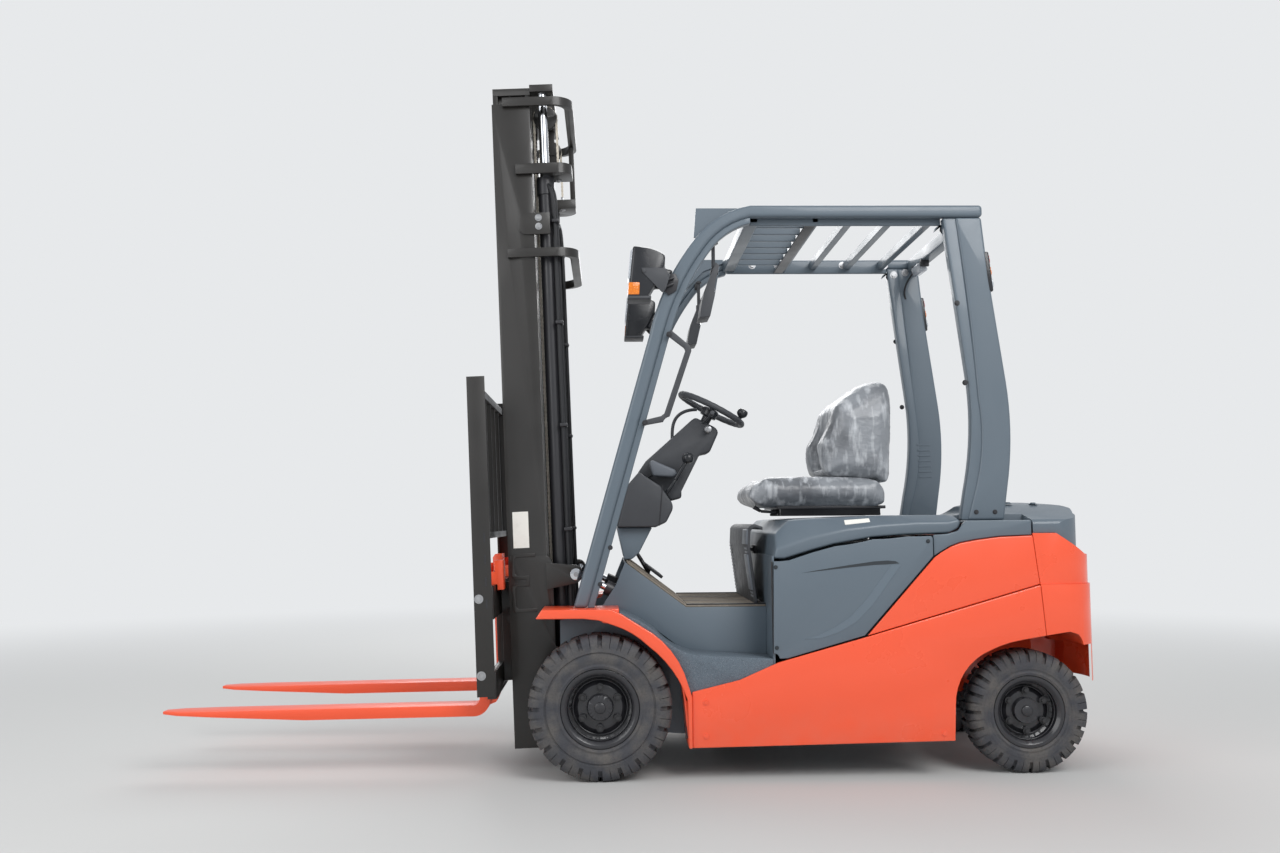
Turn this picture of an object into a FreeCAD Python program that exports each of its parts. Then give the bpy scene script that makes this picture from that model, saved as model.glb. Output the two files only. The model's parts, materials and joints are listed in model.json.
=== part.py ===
import FreeCAD, Part
import math
import os

from FreeCAD import Rotation, Vector

# Electric counterbalance forklift. Lengths in millimetres, angles in degrees.
# +X points forward over the forks, +Y to the left side, +Z up from the floor.
# Pieces are laid out from the front axle: X is 0 at the axle and Z is 0 at the floor.
# The mast's pieces are laid out upright and leaned about the front axle at the end.
# The last step moves everything so that X is 0 at the middle of the length.

SIZES = (
    # running gear
    ("wheel_base", 1572),
    ("front_tyre_radius", 260),
    ("front_tyre_width", 205),
    ("front_half_width", 575),
    ("front_rim_radius", 141),
    ("rear_tyre_radius", 223),
    ("rear_tyre_width", 158),
    ("rear_half_width", 512),
    ("rear_rim_radius", 130),
    ("lug_depth", 12),
    ("lug_count", 20),
    ("shoulder", 18),
    ("rim_wall", 12),
    ("hub_radius", 45),
    ("nut_circle", 68),
    ("nut_radius", 10),
    ("axle_radius", 62),
    ("kingpin_half_width", 380),
    ("kingpin_radius", 22),
    ("running_gap", 0.3),
    ("moving_gap", 6),
    # mast, upright
    ("mast_lean", 2.2),
    ("rail_front", 328),
    ("rail_depth", 148),
    ("rail_flange", 20),
    ("rail_web", 15),
    ("outer_half_width", 330),
    ("outer_flange_width", 58),
    ("inner_flange_width", 62),
    ("rail_gap", 4),
    ("outer_bottom", 95),
    ("outer_top", 2575),
    ("inner_raise", 100),
    ("inner_length", 2440),
    ("roller_gap", 1.5),
    ("lift_cylinder_place", 132),
    ("lift_cylinder_half_width", 270),
    ("lift_cylinder_radius", 30),
    ("lift_rod_radius", 18),
    ("cylinder_head_height", 2290),
    ("cylinder_foot_height", 140),
    ("sheave_place", 125),
    ("sheave_radius", 47),
    ("sheave_groove", 39),
    ("sheave_width", 22),
    ("chain_half_width", 222),
    ("chain_width", 16),
    ("chain_depth", 10),
    ("beam_height", 34),
    ("beam_depth", 34),
    ("beam_rear", 12),
    ("beam_arm", 14),
    ("beam_bend", 90),
    ("beam_inner_bend", 60),
    ("bracket_rear", 25),
    ("bracket_height", 40),
    ("middle_beam_height", 1985),
    ("tilt_pin_radius", 14),
    ("tilt_eye_radius", 26),
    ("tilt_eye_width", 28),
    ("tilt_eye_drift", 5),
    ("tilt_pin_place", 72),
    ("tilt_pin_height", 735),
    ("tilt_half_width", 326),
    ("tilt_barrel_radius", 28),
    ("tilt_rod_radius", 13),
    ("tilt_anchor_place", -330),
    ("tilt_anchor_height", 540),
    # carriage and forks
    ("carriage_half_width", 520),
    ("carriage_plate", 16),
    ("carriage_half_gauge", 185),
    ("bar_thickness", 34),
    ("bar_rear", 372),
    ("upper_bar_bottom", 592),
    ("upper_bar_top", 712),
    ("lower_bar_bottom", 306),
    ("lower_bar_top", 402),
    ("fork_half_spacing", 345),
    ("fork_width", 122),
    ("fork_thickness", 40),
    ("fork_length", 1175),
    ("fork_heel_height", 232),
    ("fork_top", 810),
    ("fork_rise", 1.4),
    ("backrest_bottom", 316),
    ("backrest_top", 1484),
    ("backrest_depth", 66),
    ("backrest_sheet", 8),
    ("backrest_flange", 40),
    ("backrest_bar_count", 5),
    # chassis
    ("body_half_width", 566),
    ("panel_thickness", 14),
    ("wall_place", 365),
    ("wall_sheet", 8),
    ("floor_height", 605),
    ("floor_front", -325),
    ("floor_rear", -628),
    ("toe_front", -95),
    ("toe_height", 775),
    ("frame_bottom", 135),
    ("battery_length", 600),
    ("battery_half_width", 415),
    ("battery_bottom", 235),
    ("battery_height", 610),
    ("arch_radius", 304),
    ("fender_thickness", 30),
    ("fender_front", 231),
    ("fender_underside", 581),
    ("fender_top", 614),
    ("skirt_front", -331),
    ("skirt_bottom", 118),
    # counterweight, hood and seat
    ("seam_place", -1596),
    ("weight_front", -1294),
    ("weight_rear", -1880),
    ("weight_top", 877),
    ("well_half_width", 150),
    ("wheel_swing", 268),
    ("hood_front", -632),
    ("hood_rear", -1330),
    ("hood_half_width", 536),
    ("deck_half_width", 480),
    ("deck_height", 947),
    ("hood_sheet", 8),
    ("hood_lip", 44),
    ("seat_half_width", 240),
    # overhead guard
    ("guard_height", 2116),
    ("guard_half_width", 503),
    ("pillar_width", 48),
    ("pillar_depth", 92),
    ("rail_height", 46),
    ("roof_front", -560),
    ("roof_middle", -812),
    ("roof_rear", -1440),
    ("slat_thickness", 12),
    ("slat_depth", 34),
    ("slat_count", 7),
    ("roof_bar_count", 4),
    # steering
    ("steering_radius", 152),
    ("steering_grip", 13),
    ("steering_place", -460),
    ("steering_height", 1388),
    ("steering_slope", 27.3),
)

doc = FreeCAD.newDocument("forklift")
sheet = doc.addObject("Spreadsheet::Sheet", "Dims")
for row, (name, value) in enumerate(SIZES, 1):
    sheet.set("A%d" % row, name)
    sheet.set("B%d" % row, str(value))
    sheet.setAlias("B%d" % row, name)
doc.recompute()


class Size:
    """A length or angle with the sheet expression that gives it."""

    def __init__(self, text, value):
        self.text = text
        self.value = value

    def __add__(self, other):
        other = size(other)
        return Size("(%s + %s)" % (self.text, other.text), self.value + other.value)

    def __radd__(self, other):
        return size(other) + self

    def __sub__(self, other):
        other = size(other)
        return Size("(%s - %s)" % (self.text, other.text), self.value - other.value)

    def __rsub__(self, other):
        return size(other) - self

    def __mul__(self, other):
        other = size(other)
        return Size("(%s * %s)" % (self.text, other.text), self.value * other.value)

    def __rmul__(self, other):
        return size(other) * self

    def __truediv__(self, other):
        other = size(other)
        return Size("(%s / %s)" % (self.text, other.text), self.value / other.value)

    def __neg__(self):
        return size(0) - self


def size(value):
    """A number as a Size, and a Size as it is."""
    if isinstance(value, Size):
        return value
    return Size(repr(float(value)), float(value))


def sine(angle):
    angle = size(angle)
    return Size("sin(%s)" % angle.text, math.sin(math.radians(angle.value)))


def cosine(angle):
    angle = size(angle)
    return Size("cos(%s)" % angle.text, math.cos(math.radians(angle.value)))


class Sheet:
    """The sheet's sizes by name."""

    def __getattr__(self, name):
        return Size("Dims." + name, float(sheet.get(name)))


d = Sheet()

UP = Rotation()
ALONG_X = Rotation(Vector(0, 1, 0), 90)
ALONG_Y = Rotation(Vector(1, 0, 0), -90)
TURNS = {"X": ALONG_X, "Y": ALONG_Y, "Z": UP}
# a sketch's own axes in the model, and the way that it is pushed out
PLANES = {
    "XY": (Rotation(), Vector(0, 0, 1), "z"),
    "XZ": (Rotation(Vector(1, 0, 0), 90), Vector(0, 1, 0), "y"),
    "YZ": (Rotation(Vector(1, 1, 1), 120), Vector(1, 0, 0), "x"),
}


def bind(thing, name, value):
    thing.setExpression(name, size(value).text)


def place(thing, x, y, z):
    for axis, value in zip("xyz", (x, y, z)):
        bind(thing, "Placement.Base." + axis, value)


def box(x0, x1, y0, y1, z0, z1):
    """A block between two corners."""
    thing = doc.addObject("Part::Box", "Block")
    for name, low, high in (("Length", x0, x1), ("Width", y0, y1), ("Height", z0, z1)):
        bind(thing, name, size(high) - size(low))
    place(thing, x0, y0, z0)
    return thing


def cylinder(axis, x, y, z, radius, length):
    """A round bar from a point, along a named axis."""
    thing = doc.addObject("Part::Cylinder", "Round")
    bind(thing, "Radius", radius)
    bind(thing, "Height", length)
    thing.Placement = FreeCAD.Placement(Vector(), TURNS[axis])
    place(thing, x, y, z)
    return thing


def arc_of(start, end, radius):
    """The short arc between two points: the centre is on the left of the way for a positive radius."""
    middle = (start + end) * 0.5
    chord = end - start
    rise = math.sqrt(max(radius * radius - chord.Length * chord.Length / 4, 0))
    left = Vector(-chord.y, chord.x, 0).normalize()
    centre = middle + left * (rise if radius > 0 else -rise)
    first = math.atan2(start.y - centre.y, start.x - centre.x)
    last = math.atan2(end.y - centre.y, end.x - centre.x)
    if radius < 0:
        first, last = last, first
    if last < first:
        last += 2 * math.pi
    circle = Part.Circle(centre, Vector(0, 0, 1), abs(radius))
    return Part.ArcOfCircle(circle, first, last)


def trace(sketch, outline):
    """Draws a closed outline of points (across, up) or, for an arc from the point before, (across, up, radius)."""
    import Sketcher

    points = [[size(v) for v in point] for point in outline]
    at = [Vector(p[0].value, p[1].value, 0) for p in points]
    curves = []
    ends = []
    for k, point in enumerate(points):
        start = at[k - 1]
        if len(point) == 3:
            curves.append(arc_of(start, at[k], point[2].value))
            ends.append((1, 2) if point[2].value > 0 else (2, 1))
        else:
            curves.append(Part.LineSegment(start, at[k]))
            ends.append((1, 2))
    sketch.addGeometry(curves, False)
    rules = []
    texts = []
    for k, point in enumerate(points):
        end = ends[k][1]
        following = (k + 1) % len(points)
        rules.append(Sketcher.Constraint("Coincident", k, end, following, ends[following][0]))
        texts.append(None)
        rules.append(Sketcher.Constraint("DistanceX", -1, 1, k, end, at[k].x))
        texts.append(point[0].text)
        rules.append(Sketcher.Constraint("DistanceY", -1, 1, k, end, at[k].y))
        texts.append(point[1].text)
        if len(point) == 3:
            rules.append(Sketcher.Constraint("Radius", k, abs(point[2].value)))
            texts.append("abs(%s)" % point[2].text)
    sketch.addConstraint(rules)
    for k, text in enumerate(texts):
        if text:
            sketch.setExpression("Constraints[%d]" % k, text)


def outline_on(plane, outline, level):
    """A sketch of an outline on a plane, at a level along the plane's normal."""
    turn, _, axis = PLANES[plane]
    sketch = doc.addObject("Sketcher::SketchObject", "Outline")
    sketch.Placement = FreeCAD.Placement(Vector(), turn)
    bind(sketch, "Placement.Base." + axis, level)
    trace(sketch, outline)
    return sketch


def plate(plane, outline, low, high):
    """An outline on a plane, pushed out from one level to another."""
    thing = doc.addObject("Part::Extrusion", "Plate")
    thing.Base = outline_on(plane, outline, low)
    thing.DirMode = "Custom"
    thing.Dir = PLANES[plane][1]
    thing.Solid = True
    bind(thing, "LengthFwd", size(high) - size(low))
    return thing


def blend(plane, first, low, second, high):
    """A solid whose section runs straight from one outline to another like it."""
    thing = doc.addObject("Part::Loft", "Blend")
    thing.Sections = [outline_on(plane, first, low), outline_on(plane, second, high)]
    thing.Solid = True
    thing.Ruled = True
    return thing


def turned(outline, x, y, z):
    """An outline of (along the axle, radius) spun about an axle along Y."""
    thing = doc.addObject("Part::Revolution", "Turned")
    thing.Source = outline_on("YZ", outline, 0)
    thing.Axis = Vector(0, 1, 0)
    thing.Angle = 360
    thing.Solid = True
    place(thing, x, y, z)
    return thing


def fuse(*things):
    if len(things) == 1:
        return things[0]
    thing = doc.addObject("Part::MultiFuse", "Joined")
    thing.Shapes = list(things)
    return thing


def cut(base, *tools):
    thing = doc.addObject("Part::Cut", "Cut")
    thing.Base = base
    thing.Tool = fuse(*tools)
    return thing


def mirror(thing):
    """The right-hand copy of a left-hand piece."""
    copy = doc.addObject("Part::Mirroring", "Other")
    copy.Source = thing
    copy.Normal = Vector(0, 1, 0)
    return copy


def both(thing):
    """A left-hand piece and its right-hand copy, as two solids."""
    pair = doc.addObject("Part::Compound", "Pair")
    pair.Links = [thing, mirror(thing)]
    return pair


def across(thing):
    """A left-hand piece joined with its right-hand copy."""
    return fuse(thing, mirror(thing))


def group(*things):
    """Pieces of one sub-part that don't touch."""
    thing = doc.addObject("Part::Compound", "Group")
    thing.Links = list(things)
    return thing


def origin_plane(body, role):
    return next(f for f in body.Origin.OriginFeatures if f.Role == role)


def body_sketch(body, role, outline, level=0):
    """A sketch on one of a body's own planes, raised along that plane's normal."""
    sketch = body.newObject("Sketcher::SketchObject", body.Name + "Sketch")
    sketch.AttachmentSupport = (origin_plane(body, role), [""])
    sketch.MapMode = "FlatFace"
    bind(sketch, "AttachmentOffset.Base.z", level)
    trace(sketch, outline)
    return sketch


def new_body(name):
    body = doc.addObject("PartDesign::Body", name)
    body.AllowCompound = True
    return body


def pad(body, sketch, length):
    feature = body.newObject("PartDesign::Pad", body.Name + "Pad")
    feature.Profile = sketch
    bind(feature, "Length", length)
    sketch.Visibility = False
    return feature


nodes = {}
MAST_GROUP = "mast"
TRUCK_GROUP = "truck"


def node(label, thing, kind=TRUCK_GROUP):
    """Names a finished sub-part."""
    holder = doc.addObject("Part::Compound", "Node")
    holder.Links = [thing]
    holder.Label = label
    nodes[label] = (holder, kind)


# Wheels


def tyre(name, radius, width, rim, x, y_out, z, side):
    """A solid-rubber tyre with shoulder lugs: y_out is its outer face, side is +1 left and -1 right."""
    body = new_body(name)
    half = width / 2
    base = radius - d.lug_depth
    profile = (
        (-half + 8, rim),
        (half - 8, rim),
        (half, rim + 8),
        (half - 2, base - 34),
        (half - 8, base),
        (-half + 8, base),
        (-half + 2, base - 34),
        (-half, rim + 8),
    )
    sketch = body_sketch(body, "XY_Plane", [(b, a) for a, b in profile])
    spin = body.newObject("PartDesign::Revolution", name + "Carcass")
    spin.Profile = sketch
    spin.ReferenceAxis = (sketch, ["V_Axis"])
    spin.Angle = 360
    pitch = size(360) / d.lug_count
    patterns = []
    for row, (sense, turn) in enumerate(((1, 0), (-1, pitch / 2))):
        low = turn - pitch * 0.42
        high = turn + pitch * 0.42
        inner = base - 26
        lug = [
            (sine(low) * inner, cosine(low) * inner),
            (sine(low) * radius, cosine(low) * radius),
            (sine(high) * radius, cosine(high) * radius, -radius),
            (sine(high) * inner, cosine(high) * inner),
        ]
        level = -half + 3 if sense > 0 else 6
        block = pad(body, body_sketch(body, "XZ_Plane", lug, level), half - 9)
        pattern = body.newObject("PartDesign::PolarPattern", "%sLugs%d" % (name, row))
        pattern.Originals = [block]
        pattern.Axis = (origin_plane(body, "Y_Axis"), [""])
        pattern.Angle = 360
        bind(pattern, "Occurrences", d.lug_count)
        body.Tip = pattern
        patterns.append(pattern)
    place(body, x, y_out - half * side, z)
    return body


def rim(name, radius, width, x, y_out, z, side):
    """A pressed steel wheel with its dished disc, hub cap and wheel nuts."""
    half = width / 2 - 6
    wall = d.rim_wall
    profile = (
        (half, radius - 12),
        (half, radius - d.running_gap),
        (-half, radius - d.running_gap),
        (-half, radius - 12),
        (-half + wall, radius - 12 - wall),
        (half - 100, radius - 12 - wall),
        (half - 92, radius - 50),
        (half - 78, radius - 66),
        (half - 78, 0.0),
        (half - 30, 0.0),
        (half - 26, 24),
        (half - 30, d.hub_radius),
        (half - 52, d.hub_radius + 3),
        (half - 52, radius - 60),
        (half - 66, radius - 44),
        (half - 62, radius - 12 - wall),
        (half - wall, radius - 12 - wall),
    )
    shape = turned([(a * side if side < 0 else a, b) for a, b in profile], 0, 0, 0)
    nuts = []
    for k in range(6):
        angle = 30 + 60 * k
        start = half - 54 if side > 0 else -(half - 54) - 16
        nuts.append(
            cylinder("Y", d.nut_circle * cosine(angle), start, d.nut_circle * sine(angle), d.nut_radius, 16)
        )
    thing = fuse(shape, *nuts)
    place(thing, x, y_out - width / 2 * side, z)
    return thing


for word, side in (("left", 1), ("right", -1)):
    node(
        "front_tyre_" + word,
        tyre(
            "FrontTyre" + word.title(),
            d.front_tyre_radius,
            d.front_tyre_width,
            d.front_rim_radius,
            size(0),
            d.front_half_width * side,
            d.front_tyre_radius,
            side,
        ),
    )
    node(
        "front_rim_" + word,
        rim(
            "FrontRim" + word.title(),
            d.front_rim_radius,
            d.front_tyre_width,
            size(0),
            d.front_half_width * side,
            d.front_tyre_radius,
            side,
        ),
    )
    node(
        "rear_tyre_" + word,
        tyre(
            "RearTyre" + word.title(),
            d.rear_tyre_radius,
            d.rear_tyre_width,
            d.rear_rim_radius,
            -d.wheel_base,
            d.rear_half_width * side,
            d.rear_tyre_radius,
            side,
        ),
    )
    node(
        "rear_rim_" + word,
        rim(
            "RearRim" + word.title(),
            d.rear_rim_radius,
            d.rear_tyre_width,
            -d.wheel_base,
            d.rear_half_width * side,
            d.rear_tyre_radius,
            side,
        ),
    )

# Mast

rail_rear = d.rail_front - d.rail_depth
rail_middle = d.rail_front - d.rail_depth / 2
outer_web = d.outer_half_width - d.rail_web
outer_inside = d.outer_half_width - d.outer_flange_width
inner_outside = outer_inside - d.rail_gap
inner_inside = inner_outside - d.inner_flange_width
inner_web_out = (inner_outside + inner_inside) / 2 + d.rail_web / 2
inner_web_in = inner_web_out - d.rail_web
inner_bottom = d.outer_bottom + 25 + d.inner_raise
inner_top = inner_bottom + d.inner_length
roller_radius = (d.rail_depth - d.rail_flange * 2) / 2 - d.roller_gap
front_lip = d.rail_front - d.rail_flange
rear_lip = rail_rear + d.rail_flange

outer_section = (
    (d.rail_front, d.outer_half_width),
    (d.rail_front, outer_inside),
    (front_lip, outer_inside),
    (front_lip, outer_web),
    (rear_lip, outer_web),
    (rear_lip, outer_inside),
    (rail_rear, outer_inside),
    (rail_rear, d.outer_half_width),
)
inner_section = (
    (d.rail_front, inner_outside),
    (d.rail_front, inner_inside),
    (front_lip, inner_inside),
    (front_lip, inner_web_in),
    (rear_lip, inner_web_in),
    (rear_lip, inner_inside),
    (rail_rear, inner_inside),
    (rail_rear, inner_outside),
    (rear_lip, inner_outside),
    (rear_lip, inner_web_out),
    (front_lip, inner_web_out),
    (front_lip, inner_outside),
)


beam_in = d.outer_half_width + d.running_gap
beam_out = d.outer_half_width + d.beam_arm
beam_front = front_lip - 22
head_in = d.chain_half_width - 18


def bow(top):
    """A tie beam that bends round behind the lift cylinders, with arms on the rails' outer faces."""
    bar_front = d.beam_rear + d.beam_depth
    outline = (
        (beam_front, beam_in),
        (beam_front, beam_out),
        (d.beam_rear + d.beam_bend, beam_out),
        (d.beam_rear, beam_out - d.beam_bend, d.beam_bend),
        (d.beam_rear, 0.0),
        (bar_front, 0.0),
        (bar_front, beam_in - d.beam_inner_bend),
        (bar_front + d.beam_inner_bend, beam_in, -d.beam_inner_bend),
    )
    return plate("XY", outline, top - d.beam_height, top)


foot_out = d.outer_half_width + 12
axle_height = d.front_tyre_radius
foot = plate(
    "XZ",
    (
        (d.rail_front, d.outer_bottom),
        (d.rail_front, 790),
        (d.rail_front - 22, 812, 22),
        (rail_rear + 18, 812),
        (rail_rear - 20, 774, 38),
        (rail_rear - 20, 470),
        (60, axle_height + 92),
        (-40, axle_height + 84, 130),
        (-84, axle_height, 110),
        (-40, axle_height - 80, 100),
        (40, axle_height - 84, 130),
        (120, d.outer_bottom),
    ),
    d.outer_half_width - 12,
    foot_out,
)
foot_bore = cylinder(
    "Y", 0, d.outer_half_width - 20, axle_height, d.axle_radius + d.running_gap, 60
)
eye_half = d.tilt_eye_width / 2
cheek_outline = (
    (rail_rear + 4, d.tilt_pin_height - 52),
    (rail_rear + 4, d.tilt_pin_height + 46),
    (d.tilt_pin_place, d.tilt_pin_height + 34),
    (d.tilt_pin_place, d.tilt_pin_height - 34, 36),
)
cheek_gap = eye_half + 2
cheeks = [
    plate("XZ", cheek_outline, d.tilt_half_width - cheek_gap - 8, d.tilt_half_width - cheek_gap),
    plate("XZ", cheek_outline, d.tilt_half_width + cheek_gap, d.tilt_half_width + cheek_gap + 12),
]
cheek_bore = cylinder(
    "Y",
    d.tilt_pin_place,
    d.tilt_half_width - 60,
    d.tilt_pin_height,
    d.tilt_pin_radius + d.tilt_eye_drift,
    120,
)
top_roller = fuse(
    cylinder("Y", rail_middle, inner_web_out + 2, d.outer_top - 125, roller_radius, inner_outside - inner_web_out - 4),
    cylinder("Y", rail_middle, inner_web_out + 6, d.outer_top - 125, 20, outer_web - inner_web_out - 6),
)
clamp_outline = (
    (rail_rear - 62, 2052),
    (rail_rear + 30, 2052),
    (rail_rear + 60, 2082, 30),
    (rail_rear + 60, 2106),
    (rail_rear + 30, 2136, 30),
    (rail_rear - 62, 2136),
)
rail_clamp = plate("XZ", clamp_outline, d.outer_half_width - 2, d.outer_half_width + 10)
outer_rail = fuse(
    plate("XY", outer_section, d.outer_bottom, d.outer_top),
    foot,
    cheeks[0],
    cheeks[1],
    top_roller,
    rail_clamp,
)
node("outer_rails", both(cut(outer_rail, foot_bore, cheek_bore)), MAST_GROUP)

cylinder_seat = box(
    d.lift_cylinder_place - 32,
    rail_rear - d.moving_gap,
    0,
    d.outer_half_width - 12 - d.running_gap,
    d.outer_bottom,
    d.cylinder_foot_height,
)
head_bracket = cut(
    plate(
        "XY",
        (
            (beam_front - 42, beam_in),
            (beam_front - 42, beam_out),
            (d.bracket_rear + d.beam_inner_bend, beam_out),
            (d.bracket_rear, beam_out - d.beam_inner_bend, d.beam_inner_bend),
            (d.bracket_rear, head_in),
            (rail_rear - 30, head_in),
            (rail_rear - 30, beam_in),
        ),
        d.cylinder_head_height + 2,
        d.cylinder_head_height + 2 + d.bracket_height,
    ),
    cylinder(
        "Z",
        d.lift_cylinder_place,
        d.lift_cylinder_half_width,
        d.cylinder_head_height - 20,
        d.lift_cylinder_radius - 4,
        100,
    ),
)
hose_stay = box(
    d.beam_rear + 12,
    d.beam_rear + d.beam_depth,
    -(d.chain_half_width + 12),
    -(d.chain_half_width - 12),
    d.cylinder_head_height + 4,
    d.outer_top,
)
beams_left = fuse(bow(d.outer_top + 22), bow(d.middle_beam_height + 12), cylinder_seat, head_bracket)
node("outer_beams", fuse(across(beams_left), hose_stay), MAST_GROUP)

barrel = cut(
    fuse(
        cylinder(
            "Z",
            d.lift_cylinder_place,
            d.lift_cylinder_half_width,
            d.cylinder_foot_height,
            d.lift_cylinder_radius,
            d.cylinder_head_height - d.cylinder_foot_height,
        ),
        cylinder(
            "Z",
            d.lift_cylinder_place,
            d.lift_cylinder_half_width,
            d.cylinder_head_height - 70,
            d.lift_cylinder_radius + 5,
            70,
        ),
    ),
    cylinder(
        "Z",
        d.lift_cylinder_place,
        d.lift_cylinder_half_width,
        d.cylinder_foot_height + 20,
        d.lift_rod_radius + 1,
        d.cylinder_head_height,
    ),
)
node("lift_cylinders", both(barrel), MAST_GROUP)
tail_rear = d.sheave_place - d.sheave_groove - d.chain_depth - 0.4
tail_front = tail_rear + d.chain_depth
chain_low = d.chain_half_width - d.chain_width / 2
chain_high = d.chain_half_width + d.chain_width / 2
tail = box(
    tail_rear, tail_front, chain_low, chain_high, d.cylinder_head_height + 42.3, inner_top - 112
)
node("chain_tails", both(tail), MAST_GROUP)

inner_roller = fuse(
    cylinder("Y", rail_middle, inner_outside + 2, inner_bottom + 75, roller_radius, outer_web - inner_outside - 4),
    cylinder("Y", rail_middle, inner_web_out - 4, inner_bottom + 75, 20, inner_outside - inner_web_out + 8),
)
top_plate = box(
    d.lift_cylinder_place - 44, d.rail_front, 0, inner_outside, inner_top - 28, inner_top
)
rod_bracket = box(
    d.lift_cylinder_place - 44,
    rail_rear,
    inner_inside,
    d.lift_cylinder_half_width + 34,
    inner_top - 28,
    inner_top,
)
sheave_height = inner_top - 112
sheave_side = d.sheave_width / 2
sheave_arms = [
    box(
        d.sheave_place - 20,
        d.sheave_place + 20,
        d.chain_half_width - sheave_side - 9,
        d.chain_half_width - sheave_side - 1,
        sheave_height - 18,
        inner_top,
    ),
]
sheave = fuse(
    cylinder(
        "Y",
        d.sheave_place,
        d.chain_half_width - sheave_side,
        sheave_height,
        d.sheave_groove,
        d.sheave_width,
    ),
    cylinder(
        "Y", d.sheave_place, d.chain_half_width - sheave_side, sheave_height, d.sheave_radius, 2
    ),
    cylinder(
        "Y", d.sheave_place, d.chain_half_width + sheave_side - 2, sheave_height, d.sheave_radius, 2
    ),
    cylinder(
        "Y", d.sheave_place, d.chain_half_width - sheave_side - 9, sheave_height, 12, d.sheave_width + 10
    ),
)
inner_foot_beam = box(
    rail_rear - 26, rail_rear - d.running_gap, 0, inner_inside + 20, inner_bottom + 34, inner_bottom + 110
)
rail_top = inner_top - 28 - d.running_gap
node(
    "inner_rails",
    both(fuse(plate("XY", inner_section, inner_bottom, rail_top), inner_roller)),
    MAST_GROUP,
)
inner_beams = fuse(top_plate, rod_bracket, sheave_arms[0], sheave, inner_foot_beam)
node("inner_beams", across(inner_beams), MAST_GROUP)
rod = cylinder(
    "Z",
    d.lift_cylinder_place,
    d.lift_cylinder_half_width,
    d.cylinder_foot_height + 20 + d.inner_raise + 10,
    d.lift_rod_radius,
    inner_top - 28 - d.cylinder_foot_height - 30 - d.inner_raise,
)
node("lift_rods", both(rod), MAST_GROUP)

# Carriage: two fork bars on side plates that run in the inner rails on rollers

bar_front = d.bar_rear + d.bar_thickness
gauge_in = d.carriage_half_gauge - d.carriage_plate
strand_rear = d.sheave_place + d.sheave_groove
anchor_height = 560
side_plate = plate(
    "XZ",
    (
        (d.bar_rear, 330),
        (d.bar_rear, d.upper_bar_top),
        (240, d.upper_bar_top),
        (205, 640, 60),
        (205, anchor_height + 40),
        (strand_rear - 12, anchor_height + 40),
        (strand_rear - 12, anchor_height),
        (205, anchor_height - 20),
        (205, 360),
        (235, 330, 30),
    ),
    gauge_in,
    d.carriage_half_gauge,
)
anchor = box(
    strand_rear - 12, rail_rear - d.moving_gap, gauge_in, d.chain_half_width + 11, anchor_height, anchor_height + 40
)
carriage_rollers = []
for height in (398, 648):
    carriage_rollers.append(
        cylinder("Y", rail_middle, inner_inside + 2, height, roller_radius, inner_web_in - inner_inside - 4)
    )
    carriage_rollers.append(
        cylinder("Y", rail_middle, d.carriage_half_gauge - 4, height, 22, inner_inside - d.carriage_half_gauge + 8)
    )
bars = [
    plate(
        "XZ",
        (
            (d.bar_rear, low),
            (bar_front, low),
            (bar_front, high - 12),
            (bar_front - 12, high),
            (d.bar_rear, high),
        ),
        0,
        d.carriage_half_width - d.backrest_sheet,
    )
    for low, high in ((d.lower_bar_bottom, d.lower_bar_top), (d.upper_bar_bottom, d.upper_bar_top))
]
link = box(d.bar_rear, bar_front - 8, 90, 150, d.lower_bar_top, d.upper_bar_bottom)
node(
    "carriage",
    across(fuse(side_plate, anchor, bars[0], bars[1], link, *carriage_rollers)),
    MAST_GROUP,
)

strand_rear = d.sheave_place + d.sheave_groove
chain = box(
    strand_rear,
    strand_rear + d.chain_depth,
    chain_low,
    chain_high,
    anchor_height + 40.3,
    sheave_height,
)
node("lift_chains", both(chain), MAST_GROUP)

backrest_front = d.bar_rear + d.backrest_depth + 4
upright_side = plate(
    "XZ",
    (
        (bar_front - 30, d.backrest_bottom),
        (backrest_front, d.backrest_bottom),
        (backrest_front, d.backrest_top),
        (backrest_front - d.backrest_depth, d.backrest_top),
        (backrest_front - d.backrest_depth, 900),
        (bar_front - 30, 880),
    ),
    d.carriage_half_width - d.backrest_sheet,
    d.carriage_half_width,
)
upright_front = box(
    backrest_front - d.backrest_sheet,
    backrest_front,
    d.carriage_half_width - d.backrest_flange,
    d.carriage_half_width,
    d.backrest_bottom,
    d.backrest_top,
)
top_bar = box(
    backrest_front - 42, backrest_front, 0, d.carriage_half_width, d.backrest_top - 56, d.backrest_top - 28
)
low_bar = box(backrest_front - 42, backrest_front, 0, d.carriage_half_width, 884, 908)
grid = []
bar_pitch = (d.carriage_half_width * 2) / (d.backrest_bar_count + 1)
for k in range(3):
    middle = bar_pitch * k
    grid.append(
        box(
            backrest_front - 36,
            backrest_front - 6,
            middle - 6,
            middle + 6,
            896,
            d.backrest_top - 40,
        )
    )
node("backrest", across(fuse(upright_side, upright_front, top_bar, low_bar, *grid)), MAST_GROUP)

# Forks

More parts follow.
